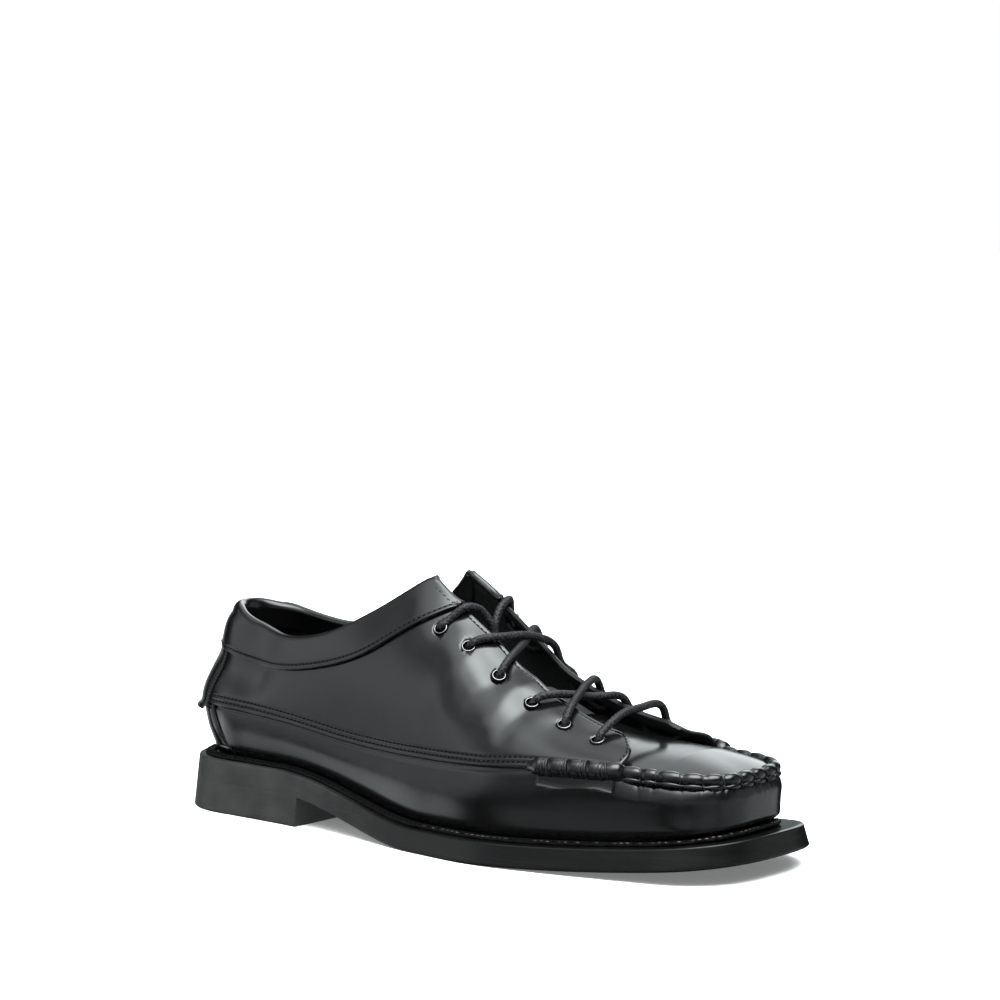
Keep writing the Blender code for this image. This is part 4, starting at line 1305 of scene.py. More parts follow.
# Wrapped rolls and their tabs
ROLL_STEPS = 16
ROLL_SIDES = 22
ROLL_PITCH = 9.4
ROLL_JITTER = 0.07
ROLL_PINCH_WIDTH = 0.22
ROLL_TURN_IN = 9.0
ROLL_END_SIZE = 0.62
ROLL_BACK_TAPER = 6.0
ROLL_FRONT_TAPER = 4.0
WRAP_THREAD = 0.5
WRAP_SPACING = 1.15
WRAP_OVER = 0.12
WRAP_LEAN = 0.7
WRAPS = (-1, 0, 1)
TAB_COLUMNS = 70
TAB_ROWS = 16
TAB_RISE = 0.1
TAB_WAVE = 0.05
TAB_FLARE = 1.8
TAB_FLARE_LEFT = 0.75
TAB_STAND = 1.0
TAB_CURL = 7.0
TAB_THICK = 1.5
TAB_TURN = 0.05
TAB_EDGE = ((0.0, 0.0), (0.3, 0.12), (0.6, 0.3), (0.9, 0.6), (1.0, 1.0))


def roll_path(side, count):
    """Middle of a wrapped roll, turned in to the toe seam at its front."""
    x = np.linspace(ROLL_START, ROLL_END, 60)
    axis, out, points = sections(station_of(x), side)
    turn_in = (ROLL_OUT + SEAM_IN) * ease(ROLL_END - ROLL_TURN_IN, ROLL_END, x)
    reach = points[:, PANEL, 0] + ROLL_OUT - turn_in
    path = outward(axis, out, reach, points[:, PANEL, 1] + ROLL_UP)
    return along(path, np.linspace(0, lengths(path)[-1], count))


def tab_grid(side):
    """Tab under the roll that stands off the side wall at its lower edge."""
    x = np.linspace(TAB_START, TAB_END, TAB_COLUMNS)
    along_tab = (x - TAB_START) / (TAB_END - TAB_START)
    low = TAB_LOW + TAB_RISE * (1 - along_tab) - TAB_WAVE * np.sin(along_tab * 2 * pi)
    rounding = rounded(np.minimum(x - TAB_START, TAB_END - x), 1.0, 1.0)
    flare = TAB_FLARE * (TAB_FLARE_LEFT + (1 - TAB_FLARE_LEFT) * np.sin(along_tab * 3 * pi))
    rows = []
    stations = station_of(x)
    for out, inward in TAB_EDGE:
        lift = TAB_STAND + flare - TAB_THICK * (1 - out) + rounding
        level = low - TAB_TURN * (1 - (1 - inward) ** 2) + TAB_TURN
        rows.append(on_wall(side, stations, level, lift.clip(UNDER_EDGE, None)))
    for share in np.linspace(0, 1, TAB_ROWS)[1:]:
        lift = TAB_STAND + flare * (1 - share) ** TAB_CURL + rounding
        level = low + (TAB_HIGH - low) * share
        rows.append(on_wall(side, stations, level, lift.clip(UNDER_EDGE, None)))
    return np.array(rows)


def build_roll(side, name, looks, thread_looks):
    length = lengths(roll_path(side, 200))[-1]
    places = pinches(length, ROLL_PITCH, ROLL_JITTER)
    count = (len(places) - 1) * ROLL_STEPS + 1
    run = np.linspace(0, length, count)
    path = roll_path(side, count)
    taper = ease(0, ROLL_FRONT_TAPER, length - run)
    ends = ROLL_END_SIZE + (1 - ROLL_END_SIZE) * ease(0, ROLL_BACK_TAPER, run) * taper
    radii = ROLL_RADIUS * bulges(run, places, ROLL_PINCH, ROLL_PINCH_WIDTH) * ends
    bm = tube(path, radii, ROLL_SIDES)
    add_to(bm, face_out(grid_mesh(tab_grid(side))))
    add_piece("roll_" + name, bm, looks, ["beef_roll_" + name])
    threads = bmesh.new()
    step = length / (count - 1)
    for at in places[1:-1]:
        for wrap in WRAPS:
            index = (at + wrap * WRAP_SPACING) / step
            radius = np.interp(index, np.arange(count), radii) + WRAP_OVER
            add_to(threads, thread_ring(path, index, radius, WRAP_THREAD, WRAP_LEAN))
    add_piece("roll_thread_" + name, turn_out(threads), thread_looks)


# Tongue
TONGUE_GRID = (50, 40)
TONGUE_POWER = 3


def build_tongue(looks):
    x = np.linspace(TONGUE_BACK, TONGUE_FRONT, TONGUE_GRID[0])[:, None]
    share = np.linspace(-1, 1, TONGUE_GRID[1])
    crest = curve(TONGUE_CREST, x)
    back = (TONGUE_FRONT - x) / (TONGUE_FRONT - TONGUE_BACK)
    half = TONGUE_HALF_WIDTH * (1 - TONGUE_NARROWING * back ** TONGUE_POWER)
    rows = np.stack((np.broadcast_to(x, TONGUE_GRID), half * share,
                     crest - TONGUE_FALL * share ** 2), -1)
    bm = face_out(grid_mesh(rows))
    thicken(add_piece("tongue_leather", bm, looks, ["tongue"]), WALL)


# Eyelets: radius and height of the spun ring, from the leather outside to the barrel inside
EYELET_RING = ((3.5, -0.3), (3.45, 0.1), (3.25, 0.38), (3.0, 0.6), (2.85, 0.82), (2.62, 0.92),
               (2.42, 0.84), (2.3, 0.6), (2.25, 0.2), (2.3, -1.4), (2.75, -1.5), (2.8, -0.3))
EYELET_BRIGHT = (0.84, 2.78)
EYELET_TURNS = 36


def build_eyelet(number, side, side_name, looks):
    seat, normal = SEATS[number, side]
    seat = seat - EYELET_DENT * normal
    turn = Vector((0, 0, 1)).rotation_difference(Vector(normal)).to_matrix().to_4x4()
    where = Matrix.Translation(Vector(place(seat))) @ turn
    bm = new_bmesh()
    ring = [bm.verts.new((radius * MM, 0, height * MM)) for radius, height in EYELET_RING]
    edges = [bm.edges.new(pair) for pair in zip(ring, ring[1:] + ring[:1])]
    bmesh.ops.spin(bm, geom=ring + edges, cent=(0, 0, 0), axis=(0, 0, 1), angle=2 * pi,
                   steps=EYELET_TURNS, use_merge=True)
    turn_out(bm)
    # Crest faces take the bare metal rim, the rest the dark enamel that also paints the dent's shade
    low, reach = EYELET_BRIGHT
    for face in bm.faces:
        middle = face.calc_center_median()
        face.material_index = int(middle.z > low * MM and middle.xy.length < reach * MM)
    bm.transform(where)
    label = "%s_%d" % (side_name, number + 1)
    add_piece("ring_" + label, bm, looks, ["eyelet_" + label])


# Lace: where it goes over the throat's edges, by eyelet, and its two ends inside
EDGE_CROSSINGS = {LATERAL: (149.0, 166.0, 173.7, 200.5, 206.8, 229.5),
                  MEDIAL: (147.6, 162.0, 172.0, 194.0, 208.0, 226.0)}
END_INSIDE = {
    LATERAL: ((152.0, -7.0, 96.5), (155.0, -4.5, 91.0), (157.0, -4.0, 83.0), (158.0, -4.0, 75.0)),
    MEDIAL: ((150.0, 7.0, 95.0), (151.0, 3.0, 89.5), (152.0, 1.5, 82.0), (153.0, 1.5, 74.0)),
}
# Height over an eyelet and distance in from it: its bottom, its mouth, an end's start and its rise
EYELET_BOTTOM = (-0.4, 0.0)
EYELET_MOUTH = (1.1, 0.5)
END_START = (1.8, 0.0)
END_RISE = (2.0, 1.6)
BEHIND_EYELET = -3.2
BEHIND_MIDDLE = -4.4
LACE_ARCH = {LATERAL: 0.8, MEDIAL: -1.8}
LACE_DIVE = 0.5
LACE_EDGE_GAP = 0.4
LACE_LAP = 2.8
LACE_OVER = 0.7
LACE_SAG = 0.3
BAR_LIFT = 2.6
BAR_CROWN = 2.4
LACE_SIDES = 22
LACE_STEP = 0.26
LACE_SOFTEN = 11.0
BRAID_STRANDS = 5
BRAID_LEAN = 0.5
BRAID_DEPTH = 0.16
BRAID_MIDDLE = 0.45
# Crest heights of the braid that get the painted highlight
BRAID_SHEEN = (0.35, 1.0)


def eyelet_out(number, side, height, inward=0.0):
    """Point over an eyelet, along its axis and in towards the throat."""
    seat, normal = SEATS[number, side]
    return seat + normal * height - np.array((0, side * inward, 0))


def over_edge(x, side, height):
    """Point over the throat's edge, lifted along the face's normal."""
    station = station_of([x])
    return on_wall(side, station, rim_levels(side, station), QUARTER_LAP + height)[0]


def lace_foot(number, side, radius):
    """Lace from inside an eyelet, out of it and over the leather towards the throat's edge."""
    x, reach = EYELETS[number]
    over = EDGE_CROSSINGS[side][number]
    x = over + LACE_DIVE if side == MEDIAL else (x + over) / 2
    station = station_of([x])
    edge = curve(THROAT_EDGE, [x])
    level = level_at(side, station, reach + (edge - reach) / 2, 1)
    return [eyelet_out(number, side, *EYELET_BOTTOM), eyelet_out(number, side, *EYELET_MOUTH),
            on_wall(side, station, level, QUARTER_LAP + radius + LACE_ARCH[side])[0]]


def crossing(near, near_side, far, lift, crown, radius):
    """Lace from one eyelet over both edges of the throat to one on the other side."""
    first = over_edge(EDGE_CROSSINGS[near_side][near], near_side, radius + lift)
    last = over_edge(EDGE_CROSSINGS[-near_side][far], -near_side, radius + lift)
    middle = (first + last) / 2 + np.array((0, 0, crown))
    return (lace_foot(near, near_side, radius) + [first, middle, last]
            + lace_foot(far, -near_side, radius)[::-1])


def behind(first, second, side):
    """Lace behind the leather between two eyelets of one side."""
    middle = eyelet_out(first, side, BEHIND_MIDDLE) + eyelet_out(second, side, BEHIND_MIDDLE)
    return [eyelet_out(first, side, BEHIND_EYELET), middle / 2,
            eyelet_out(second, side, BEHIND_EYELET)]


def lace_run(radius):
    """The whole lace between the two top eyelets."""
    gap, over = LACE_EDGE_GAP, LACE_EDGE_GAP + LACE_OVER
    path = behind(0, 1, LATERAL) + crossing(1, LATERAL, 2, over, LACE_LAP, radius)
    path += behind(2, 3, MEDIAL)
    path += crossing(3, MEDIAL, 4, over, LACE_LAP, radius) + behind(4, 5, LATERAL)
    path += crossing(5, LATERAL, 5, BAR_LIFT, BAR_CROWN, radius) + behind(5, 4, MEDIAL)
    path += crossing(4, MEDIAL, 3, gap, -LACE_SAG, radius) + behind(3, 2, LATERAL)
    return path + crossing(2, LATERAL, 1, gap, -LACE_SAG, radius) + behind(1, 0, MEDIAL)


def braid(path, radius):
    """Tube with the crossing strands of a braid raised on it."""
    run = lengths(path)
    angles = np.arange(LACE_SIDES) * 2 * pi / LACE_SIDES
    turn = run[:, None] / (BRAID_LEAN * radius)
    one = np.cos(BRAID_STRANDS * (angles[None, :] + turn / 2))
    two = np.cos(BRAID_STRANDS * (angles[None, :] - turn / 2))
    strand = np.maximum(one, two)
    radii = radius + BRAID_DEPTH * (strand - BRAID_MIDDLE)
    # The crests of the strands are kept as the mask of the lace's painted highlight
    return tube(path, radii, LACE_SIDES, ease(*BRAID_SHEEN, strand))


def build_lace(sizes, looks):
    radius = sizes.lace_radius / MM
    points = np.array(lace_run(radius))
    path = soften(resample(points, int(lengths(points)[-1] / LACE_STEP)), LACE_SOFTEN, False)
    add_piece("lace_run", braid(path, radius), looks,
              ["lace_bar", "lace_cross_lower", "lace_cross_upper"])


def build_lace_end(side, name, sizes, looks):
    """Free end of the lace from the top eyelet over the throat's edge and down inside."""
    radius = sizes.lace_radius / MM
    points = [eyelet_out(0, side, *END_START), eyelet_out(0, side, *END_RISE),
              over_edge(EDGE_CROSSINGS[side][0], side, radius + LACE_EDGE_GAP)]
    points += [np.array(point) for point in END_INSIDE[side]]
    length = lengths(resample(points, 200))[-1]
    path = resample(points, int(length / LACE_STEP))
    piece = add_piece("lace_end_" + name + "_cord", braid(path, radius), looks,
                      ["lace_end_" + name])


# Stitches: sizes in millimetres, and shares of the pitch or of the row's direction
STITCH_SINK = 0.12
STITCH_SLANT = 0.3
STITCH_SHARE = 0.8
STITCH_AHEAD = 0.3
BAND_RIM_ROW = 4.2
BAND_STITCH_RIM = 2.0
BAND_STITCH_START = 1.5
FLAP_ROW_LOW = 5.5
WHIP_PITCH = 1.5
WHIP_LENGTH = 1.9
WHIP_IN = 0.5
WHIP_SLANT = (0.01, 0.02)
WHIP_LIFT = {"upper": 1.6, "lower": 0.6}


def stitch_mesh(middles, aheads, outs, length, width, slots):
    """Small pillows of thread along a row, each with a material slot."""
    bm = new_bmesh()
    for middle, ahead, out, slot in zip(middles, aheads, outs, slots):
        ahead = Vector(ahead).normalized()
        out = Vector(out)
        out = (out - ahead * out.dot(ahead)).normalized()
        turn = Matrix((ahead, out.cross(ahead), out)).transposed().to_4x4()
        size = Matrix.Diagonal((length / 2 * MM, width / 2 * MM, width / 2 * MM, 1))
        where = Matrix.Translation(Vector(place(middle))) @ turn @ size
        where = where @ Matrix.Rotation(pi / 2, 4, "Y")
        made = bmesh.ops.create_uvsphere(bm, u_segments=8, v_segments=5, radius=1.0, matrix=where)
        for face in {face for vert in made["verts"] for face in vert.link_faces}:
            face.material_index = int(slot)
    return bm


def row_stitches(side, stations, levels, lift, pitch, thread, slot=0):
    """Stitches along a line on the wall, given by stations and levels."""
    line = on_wall(side, stations, levels, lift)
    run = lengths(line)
    count = max(2, int(run[-1] / pitch))
    at = (np.arange(count) + 0.5) * run[-1] / count
    middles = along(line, at)
    aheads = along(line, at + STITCH_AHEAD) - along(line, at - STITCH_AHEAD)
    normals = wall_normal(side, np.interp(at, run, stations), np.interp(at, run, levels))
    aheads = aheads + np.cross(normals, aheads) * STITCH_SLANT
    return stitch_mesh(middles, aheads, normals, pitch * STITCH_SHARE, thread, np.full(count, slot))


def quarter_rows(side):
    """Stations, levels and lifts of the sewing lines on one quarter."""
    stations, levels, lift, to_front = quarter_face(side)
    lines = []
    for row in PANEL_ROWS:
        k = QUARTER_LOW.index(row)
        lines.append((stations[k], levels[k], lift[k]))
    k = len(levels) - 1 - QUARTER_HIGH.index(THROAT_ROW)
    x = base(stations[k], side)[3]
    keep = (x > BAND_FRONT + 2) & (to_front[k] > THROAT_ROW)
    lines.append((stations[k][keep], levels[k][keep], lift[k][keep]))
    front = []
    for row in range(k, QUARTER_LOW.index(FLAP_ROW_LOW), -1):
        columns = np.arange(len(to_front[row]))
        at = np.interp(-THROAT_ROW, -to_front[row], columns)
        front.append([np.interp(at, columns, table[row]) for table in (stations, levels, lift)])
    lines.append(tuple(np.array(front).T))
    return lines


def whip_stitches(side, low, high, lift, turns, thread):
    """Short stitches over the edge of the backstay."""
    share = np.linspace(0, 1, 80)
    levels = low + (high - low) * share
    stations = strip_turn(share, turns) - WHIP_IN / HEEL_AXIS
    line = on_wall(side, stations, levels)
    line += wall_normal(side, stations, levels) * (lift + folds(side, line))[:, None]
    run = lengths(line)
    at = np.arange(WHIP_PITCH, run[-1], WHIP_PITCH)
    level, station = np.interp(at, run, levels), np.interp(at, run, stations)
    middles = along(line, at)
    normals = wall_normal(side, station, level)
    turn, rise = WHIP_SLANT
    aheads = on_wall(side, station + turn, level + rise) - on_wall(side, station - turn, level - rise)
    return stitch_mesh(middles, aheads, normals, WHIP_LENGTH, thread, np.zeros(len(at), int))


def build_stitches(sizes, looks):
    pitch, thread = sizes.stitch_pitch / MM, sizes.thread / MM
    bm = bmesh.new()
    for side, _ in SIDES:
        for k, (stations, levels, lift) in enumerate(quarter_rows(side)):
            # The throat and flap rows take the painted shade finish, so they read as shaded dots
            dark_and_shaded = int(k >= len(PANEL_ROWS))
            add_to(bm, row_stitches(side, stations, levels, lift - STITCH_SINK, pitch, thread, dark_and_shaded))
        end = station_of(BAND_FRONT) - BAND_ROW / RUN_LENGTH
        stations = heel_and_run(end, 40, 1.5)
        levels = band_rows(side, stations, BAND_STITCH_RIM)[0]
        k = BAND_LOW.index(BAND_ROW)
        sunk = BAND_LIFT - GROOVE_DEPTH - STITCH_SINK
        add_to(bm, row_stitches(side, stations, levels[:, k], sunk, pitch, thread))
        front = np.linspace(levels[-1, k], levels[-1, -1], 20)
        add_to(bm, row_stitches(side, np.full(20, end), front, sunk, pitch, thread))
        stations = np.linspace(station_of(COLLAR_FRONT + BAND_STITCH_START), end, 20)
        levels = band_rows(side, stations, BAND_RIM_ROW)[0]
        add_to(bm, row_stitches(side, stations, levels[:, -1], BAND_LIFT - STITCH_SINK, pitch, thread))
        head = float(band_levels(side, np.array(BACKSTAY_UPPER[1:]))[0])
        add_to(bm, whip_stitches(side, BACKSTAY_LOW, head, WHIP_LIFT["upper"], BACKSTAY_UPPER, thread))
        add_to(bm, whip_stitches(side, BACKSTAY_FOOT, BACKSTAY_LOW, WHIP_LIFT["lower"], BACKSTAY_LOWER,
                                 thread))
    add_piece("fine_stitches", bm, looks)


WELT_STITCH_IN = 0.7
# Welt stitches behind this x are painted as shaded
WELT_STITCH_SHADED_BEFORE = 150.0
WELT_STITCH_DARK = 0.3
WELT_STITCH_SHARE = 0.62
WELT_STITCH_AHEAD = 0.4
WELT_STITCH_UNEVEN = 0.15
WELT_STITCH_TURN = 0.06
WELT_STITCH_SEED = SEED + 3


def build_welt_stitches(sizes, looks):
    line = ring_rows(WELT_STATIONS, lambda s, side: welt_line(s, side, -WELT_STITCH_IN, WELT_SHOWN))
    line = np.concatenate((line, line[:1]))
    run = lengths(line)
    pitch = sizes.welt_pitch / MM
    count = int(run[-1] / pitch)
    at = (np.arange(count) + 0.5) * run[-1] / count
    rng = np.random.default_rng(WELT_STITCH_SEED)
    middles = along(line, at)
    middles[:, 2] += rng.uniform(-WELT_STITCH_UNEVEN, WELT_STITCH_UNEVEN, count)
    aheads = along(line, at + WELT_STITCH_AHEAD) - along(line, at - WELT_STITCH_AHEAD)
    aheads += rng.normal(0, WELT_STITCH_TURN, (count, 3))
    # Stitches towards the heel get painted shade; elsewhere a share of them is darker at random
    dark_and_shaded = (rng.uniform(size=count) < WELT_STITCH_DARK) | (middles[:, 0] < WELT_STITCH_SHADED_BEFORE)
    outs = np.tile((0.0, 0.0, 1.0), (count, 1))
    thread = sizes.welt_thread / MM
    bm = stitch_mesh(middles, aheads, outs, pitch * WELT_STITCH_SHARE, thread, dark_and_shaded)
    add_piece("welt_stitches", bm, looks)


# Finishes: pattern scales in waves for each metre, bump depths in millimetres
DUST = (0.06, 0.06, 0.06, 1.0)
DUST_CELLS = 420.0
DUST_SIZE = (0.04, 0.08)
DUST_AREAS = 70.0
DUST_SHOWN = (0.58, 0.64)
DUST_ROUGHNESS = 0.3
GRAIN_SCALE = 2600.0
GRAIN_PORES = 0.6
GRAIN_FINE = 900.0
GRAIN_SLOW = 130.0
STREAKS_FINE = (14.0, 14.0, 1500.0)
STREAKS_WIDE = (25.0, 25.0, 330.0)
TONE_RANGE = (0.3, 0.7)
LEATHER_GLOSS = 0.17
LEATHER_DUST = 0.5
LEATHER_BUMP = 0.03
CREASE_GRAIN = 2.2
FLAT_GRAIN = 0.35
MATT_GRAIN = 1400.0
MATT_BUMP = 0.15
SOLE_STREAKS = 0.8
SOLE_DUST = 0.6
SOLE_PALER_PATCHES = 70.0
SOLE_ROUGHNESS = (0.24, 0.48)
SOLE_SPECULAR = 0.25
HEEL_PALER = 8.0
HEEL_PALER_X = (-0.1, 0.0)
WELT_GRAIN = 900.0
WELT_FIBRE = 1500.0
WELT_FIBRE_SHOWN = 0.12
WELT_NAP = 1800.0
WELT_BUMP = 0.35
THREAD_PATCHES = 330.0
THREAD_TWIST = 4200.0
THREAD_BUMP = 0.12
# Painted highlight on the lace's strands: its patches and how much paler it makes them
LACE_SHEEN_PATCHES = 900.0
LACE_SHEEN = 9.0
LACE_DUST = 0.9
LACE_TWIST = 3000.0
METAL_WORN = 900.0


def feed(tree, socket, value):
    """Set a socket to a value, or link another socket to it."""
    if isinstance(value, bpy.types.NodeSocket):
        tree.links.new(value, socket)
    else:
        socket.default_value = value


def set_sockets(tree, node, values):
    """Set or link a node's sockets by their labels."""
    for label, value in values.items():
        feed(tree, node.inputs[label], value)


def new_group(name, inputs, outputs):
    """Shader node group with named sockets, and its input and output nodes."""
    group = bpy.data.node_groups.new(name, "ShaderNodeTree")
    for label, value in inputs:
        socket = group.interface.new_socket(name=label, in_out="INPUT", socket_type="NodeSocketFloat")
        socket.default_value = value
    for label in outputs:
        group.interface.new_socket(name=label, in_out="OUTPUT", socket_type="NodeSocketFloat")
    return group, group.nodes.new("NodeGroupInput"), group.nodes.new("NodeGroupOutput")


def math_node(tree, operation, first, second):
    node = tree.nodes.new("ShaderNodeMath")
    node.operation = operation
    feed(tree, node.inputs[0], first)
    feed(tree, node.inputs[1], second)
    return node.outputs[0]


def times(tree, first, second):
    return math_node(tree, "MULTIPLY", first, second)


def ramp(tree, value, low, high, start=0.0, end=1.0):
    """Value eased from start to end between low and high."""
    node = tree.nodes.new("ShaderNodeMapRange")
    node.interpolation_type = "SMOOTHSTEP"
    set_sockets(tree, node, {"Value": value, "From Min": low, "From Max": high, "To Min": start,
                             "To Max": end})
    return node.outputs["Result"]


def noise(tree, vector, scale, detail=2.0):
    node = tree.nodes.new("ShaderNodeTexNoise")
    set_sockets(tree, node, {"Vector": vector, "Scale": scale, "Detail": detail})
    return node.outputs["Fac"]


def cells(tree, vector, scale, feature="F1"):
    node = tree.nodes.new("ShaderNodeTexVoronoi")
    node.feature = feature
    set_sockets(tree, node, {"Vector": vector, "Scale": scale})
    return node.outputs["Distance"]


def object_place(tree):
    """Object coordinates."""
    return tree.nodes.new("ShaderNodeTexCoord").outputs["Object"]


def stretched(tree, scale):
    """Object coordinates stretched along each axis."""
    mapping = tree.nodes.new("ShaderNodeMapping")
    set_sockets(tree, mapping, {"Scale": scale, "Vector": object_place(tree)})
    return mapping.outputs["Vector"]


def kept_mask(tree):
    """The mask kept on a piece's points."""
    node = tree.nodes.new("ShaderNodeAttribute")
    node.attribute_name = "crease_and_sheen"
    return node.outputs["Fac"]


def grain_group():
    """Pores and slow waves of leather."""
    group, given, made = new_group("Leather grain", (("Scale", GRAIN_SCALE),), ("Height", "Tone"))
    where = object_place(group)
    pores = cells(group, where, given.outputs["Scale"], "SMOOTH_F1")
    pores = times(group, pores, GRAIN_PORES)
    fine = times(group, noise(group, where, GRAIN_FINE), 1 - GRAIN_PORES)
    set_sockets(group, made, {"Height": math_node(group, "ADD", pores, fine),
                              "Tone": noise(group, where, GRAIN_SLOW, 3.0)})
    return group


def dust_group():
    """Sparse pale specks lying on a surface."""
    group, given, made = new_group("Dust specks", (("Amount", 0.5),), ("Mask",))
    where = object_place(group)
    speck = ramp(group, cells(group, where, DUST_CELLS), *DUST_SIZE, 1.0, 0.0)
    some = ramp(group, noise(group, where, DUST_AREAS), *DUST_SHOWN)
    specks = times(group, speck, some)
    feed(group, made.inputs["Mask"], times(group, specks, given.outputs["Amount"]))
    return group


def streak_group():
    """Fine level streaks left by trimming and wiping."""
    group, given, made = new_group("Level streaks", (("Amount", 0.5),), ("Mask",))
    fine = ramp(group, noise(group, stretched(group, STREAKS_FINE), 1.0, 3.0), 0.4, 0.7)
    wide = ramp(group, noise(group, stretched(group, STREAKS_WIDE), 1.0), 0.35, 0.65)
    mixed = times(group, fine, wide)
    feed(group, made.inputs["Mask"], times(group, mixed, given.outputs["Amount"]))
    return group


def use_group(tree, group, **values):
    """Sockets of a group placed in a material with its own values."""
    node = tree.nodes.new("ShaderNodeGroup")
    node.node_tree = group
    set_sockets(tree, node, values)
    return node.outputs


def mix_colour(tree, mask, first, second):
    node = tree.nodes.new("ShaderNodeMix")
    node.data_type = "RGBA"
    feed(tree, node.inputs["Factor"], mask)
    feed(tree, node.inputs[6], first)
    feed(tree, node.inputs[7], second)
    return node.outputs[2]


def shade(colour, amount):
    """A colour made lighter or darker by a factor."""
    return tuple(min(1.0, channel * amount) for channel in colour[:3]) + (1.0,)


def toned(tree, mask, colour, low, high):
    """A colour that goes from one shade of itself to another."""
    return mix_colour(tree, mask, shade(colour, low), shade(colour, high))


def new_material(name):
    """Node tree and main shader of a new material."""
    look = bpy.data.materials.new(name)
    look.use_nodes = True
    return look.node_tree, look.node_tree.nodes["Principled BSDF"]


def bump(tree, shader, height, depth):
    node = tree.nodes.new("ShaderNodeBump")
    set_sockets(tree, node, {"Distance": depth * MM, "Strength": 1.0, "Height": height})
    feed(tree, shader.inputs["Normal"], node.outputs["Normal"])


def leather_material(name, colour, groups):
    """Polished leather whose grain shows most where it is gathered."""
    tree, shader = new_material(name)
    grain = use_group(tree, groups["grain"])
    specks = use_group(tree, groups["dust"], Amount=LEATHER_DUST)["Mask"]
    base_tone = toned(tree, ramp(tree, grain["Tone"], *TONE_RANGE), colour, 0.9, 1.15)
    rough = ramp(tree, grain["Tone"], *TONE_RANGE, LEATHER_GLOSS * 0.92, LEATHER_GLOSS * 1.1)
    dusty = times(tree, specks, DUST_ROUGHNESS)
    creased = times(tree, kept_mask(tree), CREASE_GRAIN)
    shown = math_node(tree, "ADD", creased, FLAT_GRAIN)
    set_sockets(tree, shader, {
        "Base Color": mix_colour(tree, specks, base_tone, DUST),
        "Roughness": math_node(tree, "ADD", rough, dusty),
        "IOR": 1.5,
    })
    bump(tree, shader, times(tree, grain["Height"], shown), LEATHER_BUMP)


def matt_material(name, colour, groups, roughness=0.85, specular=0.5):
    """Lining, cut leather, and the painted shade in grooves, under edges and on shaded stitches."""
    tree, shader = new_material(name)
    grain = use_group(tree, groups["grain"], Scale=MATT_GRAIN)
    set_sockets(tree, shader, {
        "Base Color": toned(tree, grain["Tone"], colour, 0.6, 1.4),
        "Roughness": roughness,
        "Specular IOR Level": specular,
    })
    bump(tree, shader, grain["Height"], MATT_BUMP)


def sole_material(name, colour, groups):
    """Dark rubber with level streaks, paler and rougher in uneven patches towards the heel."""
    tree, shader = new_material(name)
    streaks = use_group(tree, groups["streak"], Amount=SOLE_STREAKS)["Mask"]
    specks = use_group(tree, groups["dust"], Amount=SOLE_DUST)["Mask"]
    where = object_place(tree)
    along_sole = tree.nodes.new("ShaderNodeSeparateXYZ")
    feed(tree, along_sole.inputs[0], where)
    at_heel = ramp(tree, along_sole.outputs["X"], *HEEL_PALER_X, 1.0, 0.0)
    uneven = ramp(tree, noise(tree, where, SOLE_PALER_PATCHES, 4.0), *TONE_RANGE, 0.5, 1.0)
    paler_at_heel = times(tree, at_heel, uneven)
    streaked = toned(tree, streaks, colour, 0.85, 1.7)
    paler = mix_colour(tree, paler_at_heel, streaked, shade(colour, HEEL_PALER))
    set_sockets(tree, shader, {
        "Base Color": mix_colour(tree, specks, paler, DUST),
        "Roughness": ramp(tree, paler_at_heel, 0.0, 1.0, *SOLE_ROUGHNESS),
        "Specular IOR Level": SOLE_SPECULAR,
    })
    bump(tree, shader, streaks, LEATHER_BUMP)


def welt_material(name, colour, thread, groups):
    """Rough leather edge with a few pale fibres."""
    tree, shader = new_material(name)
    grain = use_group(tree, groups["grain"], Scale=WELT_GRAIN)
    where = object_place(tree)
    fibre = ramp(tree, noise(tree, where, WELT_FIBRE, 4.0), 0.6, 0.72)
    fibre = times(tree, fibre, WELT_FIBRE_SHOWN)
    rough_tone = toned(tree, grain["Tone"], colour, 0.5, 1.3)
    set_sockets(tree, shader, {
        "Base Color": mix_colour(tree, fibre, rough_tone, shade(thread, 0.5)),
        "Roughness": 0.8,
        "Specular IOR Level": 0.08,
    })
    bump(tree, shader, noise(tree, where, WELT_NAP, 4.0), WELT_BUMP)


def thread_material(name, colour, other, groups, roughness):
    """Thread in two tones."""
    tree, shader = new_material(name)
    where = object_place(tree)
    patch = ramp(tree, noise(tree, where, THREAD_PATCHES), 0.42, 0.62)
    specks = use_group(tree, groups["dust"], Amount=SOLE_DUST)["Mask"]
    set_sockets(tree, shader, {
        "Base Color": mix_colour(tree, specks, mix_colour(tree, patch, colour, other), DUST),
        "Roughness": roughness,
    })
    bump(tree, shader, noise(tree, where, THREAD_TWIST), THREAD_BUMP)


def lace_material(name, colour, groups):
    """Waxed braid with a painted highlight: paler where its strands stand up, in random patches."""
    tree, shader = new_material(name)
    where = object_place(tree)
    patch = ramp(tree, noise(tree, where, LACE_SHEEN_PATCHES), 0.4, 0.65)
    wear_and_sheen = times(tree, kept_mask(tree), patch)
    specks = use_group(tree, groups["dust"], Amount=LACE_DUST)["Mask"]
    with_sheen = mix_colour(tree, wear_and_sheen, colour, shade(colour, LACE_SHEEN))
    set_sockets(tree, shader, {
        "Base Color": mix_colour(tree, specks, with_sheen, DUST),
        "Roughness": 0.5,
        "Specular IOR Level": 0.28,
    })
    bump(tree, shader, noise(tree, where, LACE_TWIST), THREAD_BUMP)


def metal_material(name, colour, roughness):
    """Worn metal."""
    tree, shader = new_material(name)
    wear_and_sheen = noise(tree, object_place(tree), METAL_WORN)
    set_sockets(tree, shader, {
        "Base Color": toned(tree, wear_and_sheen, colour, 0.8, 1.15),
        "Roughness": ramp(tree, wear_and_sheen, *TONE_RANGE, roughness * 0.8, roughness * 1.3),
        "Metallic": 1.0,
    })


